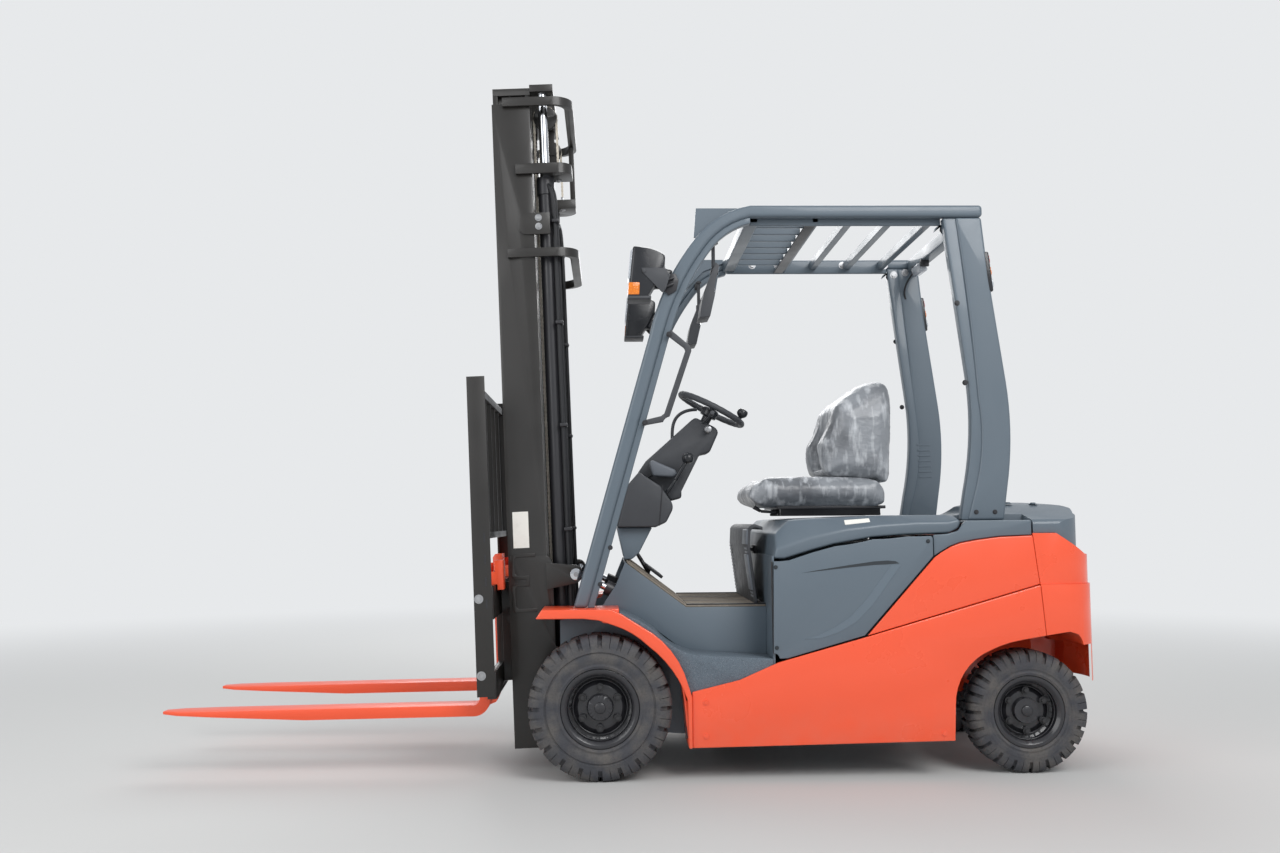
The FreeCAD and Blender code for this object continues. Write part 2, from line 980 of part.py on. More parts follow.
shank_rear = bar_front + d.running_gap
shank_front = shank_rear + d.fork_thickness
tip = shank_front + d.fork_length
rise = sine(d.fork_rise)
blade_top = d.fork_heel_height + d.fork_thickness
tip_top = blade_top + d.fork_length * rise
taper_start = shank_front + d.fork_length * 0.55
fork_outline = (
    (shank_rear, d.fork_top),
    (shank_rear, d.fork_heel_height + 62),
    (shank_rear + 62, d.fork_heel_height, 62),
    (taper_start, d.fork_heel_height + (taper_start - shank_rear) * rise),
    (tip, tip_top - 10),
    (tip, tip_top),
    (shank_front + 22, blade_top + 22 * rise),
    (shank_front, blade_top + 22, -22),
    (shank_front, d.fork_top - 14),
    (shank_front - 10, d.fork_top),
)
hook_outline = (
    (shank_rear + 2, d.upper_bar_top + d.running_gap),
    (shank_rear + 2, 760),
    (d.bar_rear + 2, 760),
    (d.bar_rear + 2, d.fork_top - 8),
    (d.rail_front + 16, d.fork_top - 8),
    (d.rail_front + 16, d.upper_bar_top - 20),
    (d.bar_rear - 6, d.upper_bar_top - 20),
    (d.bar_rear - 6, d.upper_bar_top + d.running_gap),
)
foot_hook_outline = (
    (shank_rear + 2, d.lower_bar_bottom - d.running_gap),
    (d.bar_rear + 2, d.lower_bar_bottom - d.running_gap),
    (d.bar_rear + 14, d.lower_bar_bottom - 26),
    (shank_rear + 2, d.lower_bar_bottom - 34),
)
for word, side in (("left", 1), ("right", -1)):
    middle = d.fork_half_spacing * side
    low = middle - d.fork_width / 2
    high = middle + d.fork_width / 2
    blade = plate("XZ", fork_outline, low, high)
    hook = plate("XZ", hook_outline, low + 8, high - 8)
    foot_hook = plate("XZ", foot_hook_outline, low + 8, high - 8)
    pin = cylinder("Z", d.bar_rear + 20, middle, 755, 9, 38)
    corners = []
    for sense in (1, -1):
        edge = middle + d.fork_width / 2 * sense
        corners.append(
            plate(
                "XY",
                (
                    (tip - 190, edge),
                    (tip - 60, edge - 10 * sense),
                    (tip + 1, edge - 38 * sense),
                    (tip + 1, edge + 10 * sense),
                    (tip - 190, edge + 10 * sense),
                ),
                d.fork_heel_height - 50,
                d.fork_top,
            )
        )
    node("fork_" + word, cut(fuse(blade, hook, foot_hook, pin), *corners), MAST_GROUP)

# Tilt cylinders: where the leaned mast puts their front pins

lean_sine = sine(d.mast_lean)
lean_cosine = cosine(d.mast_lean)
eye_x = d.tilt_pin_place * lean_cosine + (d.tilt_pin_height - axle_height) * lean_sine
eye_z = axle_height - d.tilt_pin_place * lean_sine + (d.tilt_pin_height - axle_height) * lean_cosine
reach = math.hypot(
    eye_x.value - d.tilt_anchor_place.value, eye_z.value - d.tilt_anchor_height.value
)
reach = Size(
    "sqrt((%s)^2 + (%s)^2)"
    % ((eye_x - d.tilt_anchor_place).text, (eye_z - d.tilt_anchor_height).text),
    reach,
)
slope_angle = math.degrees(
    math.atan2(eye_z.value - d.tilt_anchor_height.value, eye_x.value - d.tilt_anchor_place.value)
)
eye_low = d.tilt_half_width - eye_half
barrel_length = reach - 122
tilt_barrel = cut(
    fuse(
        cylinder("X", 20, d.tilt_half_width, 0, d.tilt_barrel_radius - 2, barrel_length - 20),
        cylinder("X", barrel_length - 40, d.tilt_half_width, 0, d.tilt_barrel_radius, 40),
        cylinder("Y", 0, eye_low, 0, d.tilt_eye_radius, d.tilt_eye_width),
    ),
    cylinder("X", 46, d.tilt_half_width, 0, d.tilt_rod_radius + 1, reach),
    cylinder("Y", 0, eye_low - 10, 0, d.tilt_pin_radius + d.running_gap, 60),
)
tilt_rod = fuse(
    cylinder("X", barrel_length - 45, d.tilt_half_width, 0, d.tilt_rod_radius, reach - barrel_length + 45 - 4),
    cylinder("Y", reach, eye_low, 0, d.tilt_eye_radius, d.tilt_eye_width),
    cylinder("Y", reach, d.tilt_half_width - 32, 0, d.tilt_pin_radius, 60),
    cylinder("Y", reach, d.tilt_half_width + cheek_gap + 12.5, 0, 22, 6),
)


def leaned_pair(thing):
    """Both tilt cylinders' pieces, turned up from their rear pins."""
    holder = doc.addObject("Part::Compound", "Leaned")
    holder.Links = [thing]
    holder.Placement = FreeCAD.Placement(Vector(), Rotation(Vector(0, 1, 0), -slope_angle))
    place(holder, d.tilt_anchor_place, 0, d.tilt_anchor_height)
    return both(holder)


node("tilt_cylinders", leaned_pair(tilt_barrel))
node("tilt_rods", leaned_pair(tilt_rod))

# Chassis

wall_in = d.wall_place - d.wall_sheet
side_wall = cut(
    plate(
        "XZ",
        (
            (150, 165),
            (150, 560),
            (0, 600),
            (-60, 690),
            (d.toe_front, d.toe_height),
            (d.floor_front, d.floor_height),
            (d.floor_rear, d.floor_height),
            (d.floor_rear, d.frame_bottom),
            (-330, d.frame_bottom),
        ),
        wall_in,
        d.wall_place,
    ),
    cylinder("Y", 0, wall_in - 5, axle_height, d.axle_radius + d.running_gap, 30),
)
floor_sheet = plate(
    "XZ",
    (
        (d.toe_front, d.toe_height),
        (d.floor_front, d.floor_height),
        (d.floor_rear, d.floor_height),
        (d.floor_rear, d.floor_height - 8),
        (d.floor_front + 4, d.floor_height - 8),
        (d.toe_front, d.toe_height - 11),
    ),
    0,
    wall_in,
)
cross_wall = box(-388, -376, 0, wall_in, d.frame_bottom, d.floor_height - 8)
tilt_clevis_low = d.tilt_half_width - cheek_gap - 10
clevis_outline = (
    (-376, d.tilt_anchor_height - 34),
    (d.tilt_anchor_place, d.tilt_anchor_height - 34),
    (d.tilt_anchor_place, d.tilt_anchor_height + 34, -36),
    (-376, d.tilt_anchor_height + 34),
)
clevises = [
    plate("XZ", clevis_outline, tilt_clevis_low, tilt_clevis_low + 10),
    plate("XZ", clevis_outline, d.tilt_half_width + cheek_gap, wall_in),
    cylinder(
        "Y", d.tilt_anchor_place, tilt_clevis_low + 2, d.tilt_anchor_height, d.tilt_pin_radius, cheek_gap * 2 + 16
    ),
]
skin_inside = d.body_half_width - d.panel_thickness - d.running_gap
battery_front = d.floor_rear - 48
battery_rear = battery_front - d.battery_length
bay_rear = battery_rear - 8
bay_end = d.floor_rear - d.running_gap
bay_floor = box(bay_rear, bay_end, 0, 545, d.battery_bottom - 14, d.battery_bottom)
bay_front = box(d.floor_rear - 8, bay_end, 0, skin_inside - 6, d.frame_bottom, 800 - d.running_gap)
bay_back = box(bay_rear - 10, bay_rear, 0, 530, d.battery_bottom - 14, 855)
sill = box(bay_rear, bay_end, 450, 545, 150, d.battery_bottom - 14)
tread = plate(
    "XZ",
    (
        (-71, 603),
        (-205, 530, 460),
        (-340, 447, -260),
        (d.floor_rear, 430),
        (d.floor_rear, 422),
        (-340, 439),
        (-210, 519, 268),
        (-71, 592, -450),
    ),
    d.wall_place + d.running_gap,
    skin_inside,
)
lip = plate(
    "XZ",
    (
        (-71, 603),
        (-205, 530, 460),
        (-340, 447, -260),
        (d.floor_rear, 430),
        (d.floor_rear, 300),
        (d.skirt_front + 4, 290),
        (-290, 400),
        (-232, 473),
        (-170, 527),
        (-120, 552),
        (-71, 568),
    ),
    skin_inside - 8,
    skin_inside,
)
chassis_left = fuse(side_wall, floor_sheet, cross_wall, *clevises)
node("chassis", across(chassis_left))
node("battery_tray", across(fuse(bay_floor, bay_front, bay_back, sill)))
node("steps", both(fuse(tread, lip)))

node(
    "battery",
    box(
        battery_rear,
        battery_front,
        -d.battery_half_width,
        d.battery_half_width,
        d.battery_bottom,
        d.battery_bottom + d.battery_height,
    ),
)

mat = plate(
    "XZ",
    (
        (d.toe_front - 8, d.toe_height + 6),
        (d.floor_front, d.floor_height + 8),
        (d.floor_rear, d.floor_height + 8),
        (d.floor_rear, d.floor_height),
        (d.floor_front, d.floor_height),
        (d.toe_front - 8, d.toe_height - 5.6),
    ),
    -(d.wall_place - 6),
    d.wall_place - 6,
)
node("floor_mat", mat)

pedals = []
for middle, width in ((-30, 70), (-190, 56)):
    pad_shape = plate(
        "XZ",
        (
            (-178, 748),
            (-248, 695),
            (-256, 705),
            (-186, 758),
        ),
        middle - width / 2,
        middle + width / 2,
    )
    stem = plate(
        "XZ",
        (
            (-188, 717),
            (-194, 742),
            (-206, 733),
            (-200, 708),
        ),
        middle - 10,
        middle + 10,
    )
    pedals.append(fuse(pad_shape, stem))
node("pedals", group(*pedals))

# Front axle, rear axle, knuckles

front_disc = d.front_half_width - 84 - d.running_gap
node(
    "front_axle",
    across(
        fuse(
            cylinder("Y", 0, 0, axle_height, d.axle_radius, d.outer_half_width + 22),
            cylinder("Y", 0, 0, axle_height, 118, 150),
            cylinder("Y", 0, d.outer_half_width + 20, axle_height, d.axle_radius, 20),
            cylinder("Y", 0, d.wall_place + d.running_gap, axle_height, 92, 75),
            cylinder("Y", 0, d.wall_place + 60, axle_height, 70, front_disc - d.wall_place - 60),
        )
    ),
)

king_x = -d.wheel_base
axle_z = d.rear_tyre_radius
beam = plate(
    "XY",
    (
        (king_x - 45, 0),
        (king_x + 45, 0),
        (king_x + 45, 240),
        (king_x + 26, 285),
        (king_x + 26, d.kingpin_half_width - 55),
        (king_x - 26, d.kingpin_half_width - 55),
        (king_x - 26, 285),
        (king_x - 45, 240),
    ),
    axle_z - 40,
    axle_z + 40,
)
yoke = plate(
    "XY",
    (
        (king_x - 28, d.kingpin_half_width - 62),
        (king_x + 28, d.kingpin_half_width - 62),
        (king_x + 28, d.kingpin_half_width + 10),
        (king_x - 28, d.kingpin_half_width + 10, 29.9),
    ),
    axle_z - 76,
    axle_z + 76,
)
yoke_gap = box(
    king_x - 60, king_x + 60, d.kingpin_half_width - 50, d.kingpin_half_width + 60, axle_z - 52, axle_z + 52
)
trunnion = cylinder("X", king_x - 62, 0, axle_z + 14, 26, 124)
kingpin = cylinder(
    "Z", king_x, d.kingpin_half_width, axle_z - 70, d.kingpin_radius, 140
)
node("rear_axle", fuse(across(fuse(cut(fuse(beam, yoke), yoke_gap), kingpin)), trunnion))

for word, side in (("left", 1), ("right", -1)):
    middle = d.kingpin_half_width * side
    disc_back = d.rear_half_width - d.rear_tyre_width / 2 + d.rear_tyre_width / 2 - 6 - 78
    start = size(middle) if side > 0 else -disc_back
    hub = fuse(
        cylinder("Z", king_x, middle, axle_z - 51, 36, 102),
        cylinder("Y", king_x, start if side > 0 else start + 0.3, axle_z, 28, disc_back - d.kingpin_half_width - 0.3),
    )
    flange_low = disc_back - 14.3 if side > 0 else -disc_back + 0.3
    flange = cylinder("Y", king_x, flange_low, axle_z, 58, 14)
    bore = cylinder(
        "Z", king_x, middle, axle_z - 80, d.kingpin_radius + d.running_gap, 160
    )
    node("knuckle_" + word, cut(fuse(hub, flange), bore))

# Fenders and side panels

def arch_point(radius, x):
    """A point on a circle about the front axle, by its distance behind the axle."""
    radius = size(radius)
    rise = math.sqrt(radius.value ** 2 - x ** 2)
    text = "(%s + sqrt((%s)^2 - (%s)^2))" % (axle_height.text, radius.text, float(x))
    return (-x, Size(text, axle_height.value + rise))


arch_outer = d.arch_radius + 8
liner = plate(
    "XZ",
    (
        (d.fender_front, d.fender_underside),
        (d.fender_front - 22, d.fender_top),
        (-70, d.fender_top),
        arch_point(arch_outer, 70),
        arch_point(arch_outer, 311) + (arch_outer,),
        (d.skirt_front, 280),
        (d.skirt_front, d.skirt_bottom),
        (d.skirt_front + 13, d.skirt_bottom),
        arch_point(d.arch_radius, 303),
        arch_point(d.arch_radius, 12) + (-d.arch_radius,),
        (4, d.fender_underside),
    ),
    d.wall_place + d.running_gap,
    skin_inside + 8,
)
lip_outer = d.arch_radius + 24
fender_lip = plate(
    "XZ",
    (
        (d.fender_front, d.fender_underside),
        (d.fender_front - 22, d.fender_top),
        (-40, d.fender_top),
        (-82, 600),
        arch_point(lip_outer, 150),
        arch_point(lip_outer, 322) + (lip_outer,),
        (d.skirt_front, 316),
        (d.skirt_front, d.skirt_bottom),
        (d.skirt_front + 13, d.skirt_bottom),
        arch_point(d.arch_radius, 303),
        arch_point(d.arch_radius, 12) + (-d.arch_radius,),
        (4, d.fender_underside),
    ),
    skin_inside + d.running_gap,
    d.front_half_width,
)
fender = fuse(liner, fender_lip)
node("fenders", both(fender))

panel = plate(
    "XZ",
    (
        (d.skirt_front - 0.5, d.skirt_bottom),
        (-1280, 133),
        (-1285, 251),
        (-1434, 462, -210),
        (d.seam_place - 30, 507),
        (d.seam_place - 6, 696),
        (d.seam_place, 876),
        (-1340, 866),
        (-1225, 786, 140),
        (-970, 513),
        (d.floor_rear - 3, 432),
        (d.skirt_front - 0.5, 320),
    ),
    d.body_half_width - d.panel_thickness,
    d.body_half_width,
)
node("side_panels", both(panel))

cover_gap = 4
battery_cover = plate(
    "XZ",
    (
        (d.floor_rear - 2, 438),
        (-966, 520),
        (-1218, 790),
        (-1212, 872, -60),
        (-1040, 872),
        (-873, 836, 900),
        (d.floor_rear - 2, 786, 1600),
    ),
    d.body_half_width - d.panel_thickness - 6,
    d.body_half_width - 8,
)
node("battery_covers", both(battery_cover))

# Counterweight

profile = (
    (d.weight_front, 300),
    (d.weight_front, d.weight_top - 10),
    (d.seam_place, d.weight_top),
    (-1672, d.weight_top),
    (-1790, 800),
    (-1862, 770, 120),
    (d.weight_rear, 690, 90),
    (d.weight_rear, 380),
    (d.weight_rear + 40, 335),
    (-1700, 335),
    (-1700, 250),
    (d.weight_front, 250),
)
plan = (
    (d.weight_front, -545),
    (-1560, -545),
    (-1560, -566),
    (-1690, -566),
    (d.weight_rear + 28, -410, -130),
    (d.weight_rear, -200),
    (d.weight_rear, 200),
    (d.weight_rear + 28, 410),
    (-1690, 566, -130),
    (-1560, 566),
    (-1560, 545),
    (d.weight_front, 545),
)
common = doc.addObject("Part::MultiCommon", "Casting")
common.Shapes = [
    plate("XZ", profile, -600, 600),
    plate("XY", plan, 200, 900),
]
well = plate(
    "XZ",
    (
        (d.weight_front + 60, 100),
        (d.weight_front + 60, 470),
        (-1434, 470),
        (d.seam_place - 30, 515),
        (-1720, 520),
        (-1768, 455, 60),
        (-1804, 455),
        (-1804, 100),
    ),
    d.well_half_width,
    530,
)
well_mouth = plate(
    "XZ",
    (
        (d.weight_front + 60, 100),
        (d.weight_front + 60, 470),
        (-1434, 470),
        (d.seam_place - 30, 515),
        (-1720, 520),
        (-1764, 440, 60),
        (-1766, 100),
    ),
    529,
    620,
)
seam = plate(
    "XZ",
    (
        (-1500, 440),
        (d.seam_place - 30.5, 440),
        (d.seam_place - 30.5, 507),
        (d.seam_place - 6.5, 696),
        (d.seam_place - 0.5, 876),
        (d.seam_place - 0.5, 900),
        (-1500, 900),
    ),
    545,
    600,
)
swing = cylinder("Z", king_x, d.kingpin_half_width, 100, d.wheel_swing, 370)
notch = box(king_x - 62, king_x + 62, -140, 140, 100, axle_z + 100)
tow_slot = box(d.weight_rear - 10, d.weight_rear + 95, -60, 60, 430, 520)
tow_bore = cylinder("Z", d.weight_rear + 48, 0, 380, 16.3, 450)
node(
    "counterweight",
    cut(common, both(well), both(well_mouth), both(swing), both(seam), notch, tow_slot, tow_bore),
)
node(
    "tow_pin",
    fuse(
        cylinder("Z", d.weight_rear + 48, 0, 392, 16, 410),
        cylinder("Y", d.weight_rear + 48, -26, 804, 8, 52),
    ),
)
weight_cover = plate(
    "XZ",
    (
        (d.hood_rear - 8, d.weight_top + 0.5),
        (-1790, d.weight_top + 0.5),
        (-1822, 886, 20),
        (-1826, 966),
        (-1812, 980, -14),
        (-1545, 990),
        (-1528, 946, 40),
        (d.hood_rear - 8, 944),
    ),
    -432,
    432,
)
node("counterweight_cover", weight_cover)

# Hood: a deck with sides that slope out to a thick lip


def hood_outline(top, lip, inset):
    return (
        (d.hood_front - inset, 800 + lip + inset),
        (d.hood_front - 50 - inset, top),
        (d.hood_rear + inset, top),
        (d.hood_rear + inset, 900),
        (-1286, 888 + lip),
        (-1016, 880 + lip, 1500),
        (-873, 848 + lip, 900),
    )


deck = plate("XZ", hood_outline(d.deck_height, 0, 0), -d.deck_half_width, d.deck_half_width)
slopes = both(
    blend(
        "XZ",
        hood_outline(d.deck_height, 0, 0),
        d.deck_half_width,
        hood_outline(size(932), 0, 0),
        d.hood_half_width,
    )
)
hollow = plate(
    "XZ",
    (
        (d.hood_front - 14, 700),
        (d.hood_front - 58, d.deck_height - d.hood_sheet),
        (d.hood_rear + 10, d.deck_height - d.hood_sheet),
        (d.hood_rear + 10, 700),
    ),
    -(d.deck_half_width - 10),
    d.deck_half_width - 10,
)
node("hood", cut(fuse(deck, slopes), hollow))

seat_low = d.deck_height + d.running_gap
node(
    "seat_frame",
    group(
        fuse(
            box(-1120, -720, -150, -120, seat_low, 974),
            box(-1120, -720, 120, 150, seat_low, 974),
            box(-1130, -700, -200, 200, 974, 986),
        )
    ),
)
cushion = plate(
    "XZ",
    (
        (-590, 1000),
        (-572, 1020, -24),
        (-590, 1070, -60),
        (-640, 1098, -60),
        (-885, 1100),
        (-1100, 1092),
        (-1130, 1040),
        (-1130, 986.5),
        (-620, 986.5),
    ),
    -d.seat_half_width,
    d.seat_half_width,
)
node("seat_cushion", cushion)
seat_back = plate(
    "XZ",
    (
        (-880, 1100.5),
        (-876, 1225, -500),
        (-940, 1395, -300),
        (-1060, 1478, -260),
        (-1120, 1497, -120),
        (-1160, 1460, 40),
        (-1150, 1230),
        (-1140, 1060),
        (-1134, 1060),
        (-1100, 1092.5),
    ),
    -d.seat_half_width + 12,
    d.seat_half_width - 12,
)
node("seat_back", seat_back)

# Guard

pillar_foot = d.fender_top + 0.3
pillar_slope = size(292) / 1029
pillar_front_at_foot = size(97)


def pillar_band(inset, band):
    """The front pillar's side outline between two depths behind its front edge."""
    near = inset
    far = inset + band
    return (
        (pillar_front_at_foot - near, pillar_foot),
        (size(-190) - near, 1626),
        (size(-381) - near * 0.72, size(2010) - near * 0.55, 900),
        (size(-574), d.guard_height - near * 0.5, 330),
        (size(-574), d.guard_height - far * 0.5),
        (size(-381) - far * 0.72, size(2010) - far * 0.55, -330 + far * 0.4),
        (size(-190) - far, 1626, -900),
        (pillar_front_at_foot - far, pillar_foot),
    )


outer = d.guard_half_width
front_pillar = fuse(
    plate("XZ", pillar_band(size(0), d.pillar_depth * 0.42), outer - d.pillar_width, outer),
    plate("XZ", pillar_band(d.pillar_depth * 0.40, d.pillar_depth * 0.6), outer - d.pillar_width, outer - 8),
)
node("front_pillars", both(front_pillar))

rear_pillar = plate(
    "XZ",
    (
        (-1333, d.weight_top + 0.3),
        (-1368, 1085, -1200),
        (-1386, 1300, -1500),
        (-1358, 1635, -1800),
        (-1319, 2029, -2400),
        (-1300, d.guard_height - d.rail_height),
        (d.roof_rear + 2, d.guard_height - d.rail_height),
        (-1480, 1700, 3000),
        (-1528, 1300, 2200),
        (-1521, 1078, 1500),
        (-1494, d.weight_top + 0.3, 1500),
    ),
    outer - d.pillar_width - 14,
    outer - 8,
)
node("rear_pillars", both(rear_pillar))

rail_low = d.guard_height - d.rail_height
side_rail = box(d.roof_rear, -574, outer - d.pillar_width, outer, rail_low, d.guard_height)
inner_rail = box(-1299.7, -574, outer - d.pillar_width - 16, outer - d.pillar_width, 2040, d.guard_height - 8)
rail_in = outer - d.pillar_width
beams = [
    box(d.roof_front - 50, d.roof_front, 0, rail_in, 2058, 2104),
    box(d.roof_middle - 30, d.roof_middle, 0, rail_in, 2056, 2104),
    box(d.roof_rear, d.roof_rear + 50, 0, rail_in - 14.3, 2056, 2108),
    box(d.roof_rear, d.roof_rear + 50, 0, rail_in, d.guard_height - d.rail_height + d.running_gap, 2108),
]
slats = []
slat_pitch = rail_in * 2 / (d.slat_count + 1)
for k in range(4):
    middle = slat_pitch * k
    half = d.slat_thickness / 2
    slats.append(
        box(d.roof_middle - 10, d.roof_front - 10, middle - half, middle + half, 2066, 2066 + d.slat_depth)
    )
cross_bars = []
bar_step = (d.roof_middle - d.roof_rear - 50) / (d.roof_bar_count + 1)
for k in range(1, 5):
    middle = d.roof_middle - bar_step * k
    cross_bars.append(
        box(middle - 7, middle + 7, 0, rail_in, 2064, 2064 + d.slat_depth)
    )
node("roof_frame", across(fuse(side_rail, inner_rail, *beams, *slats, *cross_bars)))

handle = fuse(
    plate(
        "XZ",
        (
            (-268, 1640),
            (-330, 1588),
            (-345, 1560, 40),
            (-262, 1316),
            (-238, 1296, -30),
            (-160, 1282),
            (-166, 1302),
            (-232, 1318),
            (-242, 1326, 20),
            (-322, 1560),
            (-312, 1576, -20),
            (-258, 1618),
        ),
        outer - 8 + d.running_gap,
        outer + 12,
    ),
)
node("grab_handle", handle)

lamp = plate(
    "XZ",
    (
        (-110, 1757),
        (-130, 1954),
        (-185, 1946),
        (-250, 1918, 160),
        (-248, 1880),
        (-216, 1815),
        (-184, 1762),
        (-176, 1757, 20),
    ),
    outer - 82,
    outer + 34,
)
lamp_arm = plate(
    "XZ",
    (
        (-170, 1880),
        (-236, 1880),
        (-282, 1870),
        (-246.6, 1800),
        (-205, 1800),
    ),
    outer - 42,
    outer - 10,
)
node("headlamps", both(fuse(lamp, lamp_arm)))

mirror_head = plate(
    "XZ",
    (
        (-446, 1910),
        (-460, 1900),
        (-440, 1780, -500),
        (-424, 1706),
        (-384, 1700),
        (-402, 1800, 600),
    ),
    rail_in - 170,
    rail_in - 20,
)
mirror_arm = fuse(
    cylinder("Z", -442, rail_in - 76, 1880, 7, 122),
    cylinder("Y", -442, rail_in - 76, 1990, 6, 76 - d.running_gap),
)
node("mirrors", both(fuse(mirror_head, mirror_arm)))

# Dash, column and wheel

node(
    "dash",
    fuse(
        plate(
            "XZ",
            (
                (-61, 906),
                (-112, 1104),
                (-150, 1120),
                (-200, 1100),
                (-285, 1010, 260),
                (-215, 906),
            ),
            -270,
            270,
        ),
        plate(
            "XZ",
            (
                (-94, 781.6),
                (-66, 906),
                (-216, 906),
                (-262, 906),
                (-150, 745.8),
                (-103, 781.6),
            ),
            -230,
            230,
        ),
    ),
)
column_top = size(65.3)
top_x = d.steering_place + column_top * sine(d.steering_slope)
top_z = d.steering_height - column_top * cosine(d.steering_slope)
slope_x = cosine(d.steering_slope)
slope_z = sine(d.steering_slope)
node(
    "steering_column",
    plate(
        "XZ",
        (
            (-150, 1120.4),
            (-200, 1100.4),
            (-285, 1010.4, 260),
            (-330, 1022),
            (-330, 1050),
            (-405, 1198),
            (-446, 1206),
            (-483, 1288),
            (top_x - slope_x * 50, top_z - slope_z * 50),
            (top_x + slope_x * 45, top_z + slope_z * 45),
            (-372, 1338),
            (-185, 1172),
        ),
        -70,
        70,
    ),
)
column_turn = Rotation(Vector(0, 1, 0), -d.steering_slope.value)
ring = doc.addObject("Part::Torus", "Grip")
bind(ring, "Radius1", d.steering_radius - d.steering_grip)
bind(ring, "Radius2", d.steering_grip)
boss = fuse(cylinder("Z", 0, 0, -34, 34, 30), cylinder("Z", 0, 0, -65, 20, 60))
spokes = [
    box(-4, d.steering_radius - d.steering_grip, -14, 14, -12, -4),
    box(-14, 14, -(d.steering_radius - d.steering_grip), d.steering_radius - d.steering_grip, -12, -4),
]
knob = fuse(
    cylinder("Z", -118, 60, 4, 8, 34),
    cylinder("Z", -118, 60, 24, 22, 30),
)
wheel = fuse(ring, boss, knob, *spokes)
holder = doc.addObject("Part::Compound", "SteeringWheel")
holder.Links = [wheel]
holder.Placement = FreeCAD.Placement(Vector(), column_turn)
place(holder, d.steering_place, 0, d.steering_height)
node("steering_wheel", holder)

# Final places: lean the mast, then put the middle of the length at the origin

doc.recompute()


def lean_placement(lean):
    pivot = Vector(0, 0, axle_height.value)
    turn = Rotation(Vector(0, 1, 0), lean)
    return FreeCAD.Placement(pivot - turn.multVec(pivot), turn)


lean = lean_placement(d.mast_lean.value)
for thing, kind in nodes.values():
    if kind == MAST_GROUP:
        thing.Placement = lean
doc.recompute()
whole = FreeCAD.BoundBox()
for thing, kind in nodes.values():
    whole.add(thing.Shape.BoundBox)
shift = Vector(-(whole.XMin + whole.XMax) / 2, 0, 0)
for thing, kind in nodes.values():
    base = thing.Placement
    thing.Placement = FreeCAD.Placement(base.Base + shift, base.Rotation)
doc.recompute()

faults = [thing.Name for thing in doc.Objects if "Invalid" in thing.State or "Error" in thing.State]
os.makedirs("parts", exist_ok=True)
print("shift", shift.x, "box", whole)
for label, (thing, kind) in nodes.items():
    shape = thing.Shape
    if shape.isNull() or not shape.isValid():
        faults.append(label)
    if shape.isNull():
        print(label, "null")
        continue
    print(label, len(shape.Solids), [round(v) for v in (shape.BoundBox.XMin, shape.BoundBox.XMax, shape.BoundBox.YMin, shape.BoundBox.YMax, shape.BoundBox.ZMin, shape.BoundBox.ZMax)], shape.isValid())
for thing in doc.Objects:
    if hasattr(thing, "Shape") and (thing.Shape.isNull() or not thing.Shape.isValid()):
        print("BAD", thing.Name, thing.TypeId, thing.State, [o.Name for o in thing.InList][:3])
if faults:
    raise RuntimeError("these failed: " + ", ".join(faults))
for label, (thing, kind) in nodes.items():
    thing.Shape.exportStep("parts/" + label + ".step")
print(len(nodes), "sub-parts written")
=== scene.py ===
import json
import math

import bmesh
import bpy
import numpy as np
from bpy.props import FloatProperty, FloatVectorProperty, IntProperty, PointerProperty
from mathutils import Matrix, Vector
from mathutils.bvhtree import BVHTree

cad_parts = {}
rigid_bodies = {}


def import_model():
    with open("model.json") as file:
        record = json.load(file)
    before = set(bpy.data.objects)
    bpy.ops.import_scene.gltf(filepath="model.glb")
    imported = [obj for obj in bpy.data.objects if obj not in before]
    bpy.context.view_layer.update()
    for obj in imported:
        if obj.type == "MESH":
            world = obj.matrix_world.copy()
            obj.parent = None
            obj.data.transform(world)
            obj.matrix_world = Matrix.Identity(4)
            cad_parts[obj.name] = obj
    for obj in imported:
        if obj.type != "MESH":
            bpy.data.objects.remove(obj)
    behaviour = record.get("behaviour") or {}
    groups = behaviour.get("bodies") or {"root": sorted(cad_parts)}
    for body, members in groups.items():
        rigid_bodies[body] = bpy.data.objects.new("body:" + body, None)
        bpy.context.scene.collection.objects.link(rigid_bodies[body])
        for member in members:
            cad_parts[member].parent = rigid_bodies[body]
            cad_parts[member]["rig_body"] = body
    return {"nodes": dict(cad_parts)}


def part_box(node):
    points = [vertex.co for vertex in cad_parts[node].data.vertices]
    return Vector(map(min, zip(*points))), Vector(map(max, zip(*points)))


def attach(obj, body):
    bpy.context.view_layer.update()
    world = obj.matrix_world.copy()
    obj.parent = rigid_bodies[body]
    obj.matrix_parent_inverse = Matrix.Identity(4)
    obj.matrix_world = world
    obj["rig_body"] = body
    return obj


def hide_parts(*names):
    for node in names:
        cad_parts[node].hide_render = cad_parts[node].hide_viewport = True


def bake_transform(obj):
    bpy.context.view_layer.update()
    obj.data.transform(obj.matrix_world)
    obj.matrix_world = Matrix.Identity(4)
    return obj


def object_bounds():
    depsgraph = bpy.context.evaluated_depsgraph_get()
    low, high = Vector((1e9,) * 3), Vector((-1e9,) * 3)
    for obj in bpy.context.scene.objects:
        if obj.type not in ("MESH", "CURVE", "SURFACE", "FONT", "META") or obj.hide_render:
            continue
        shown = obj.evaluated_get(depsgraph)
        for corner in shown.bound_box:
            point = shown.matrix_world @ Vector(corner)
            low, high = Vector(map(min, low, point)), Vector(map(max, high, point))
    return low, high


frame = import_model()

bl_info = {
    "name": "Electric forklift",
    "version": (1, 0, 0),
    "blender": (4, 5, 0),
    "location": "3D View > Sidebar > Forklift",
    "description": "Dresses the frame of an electric counterbalance forklift",
    "category": "Object",
}

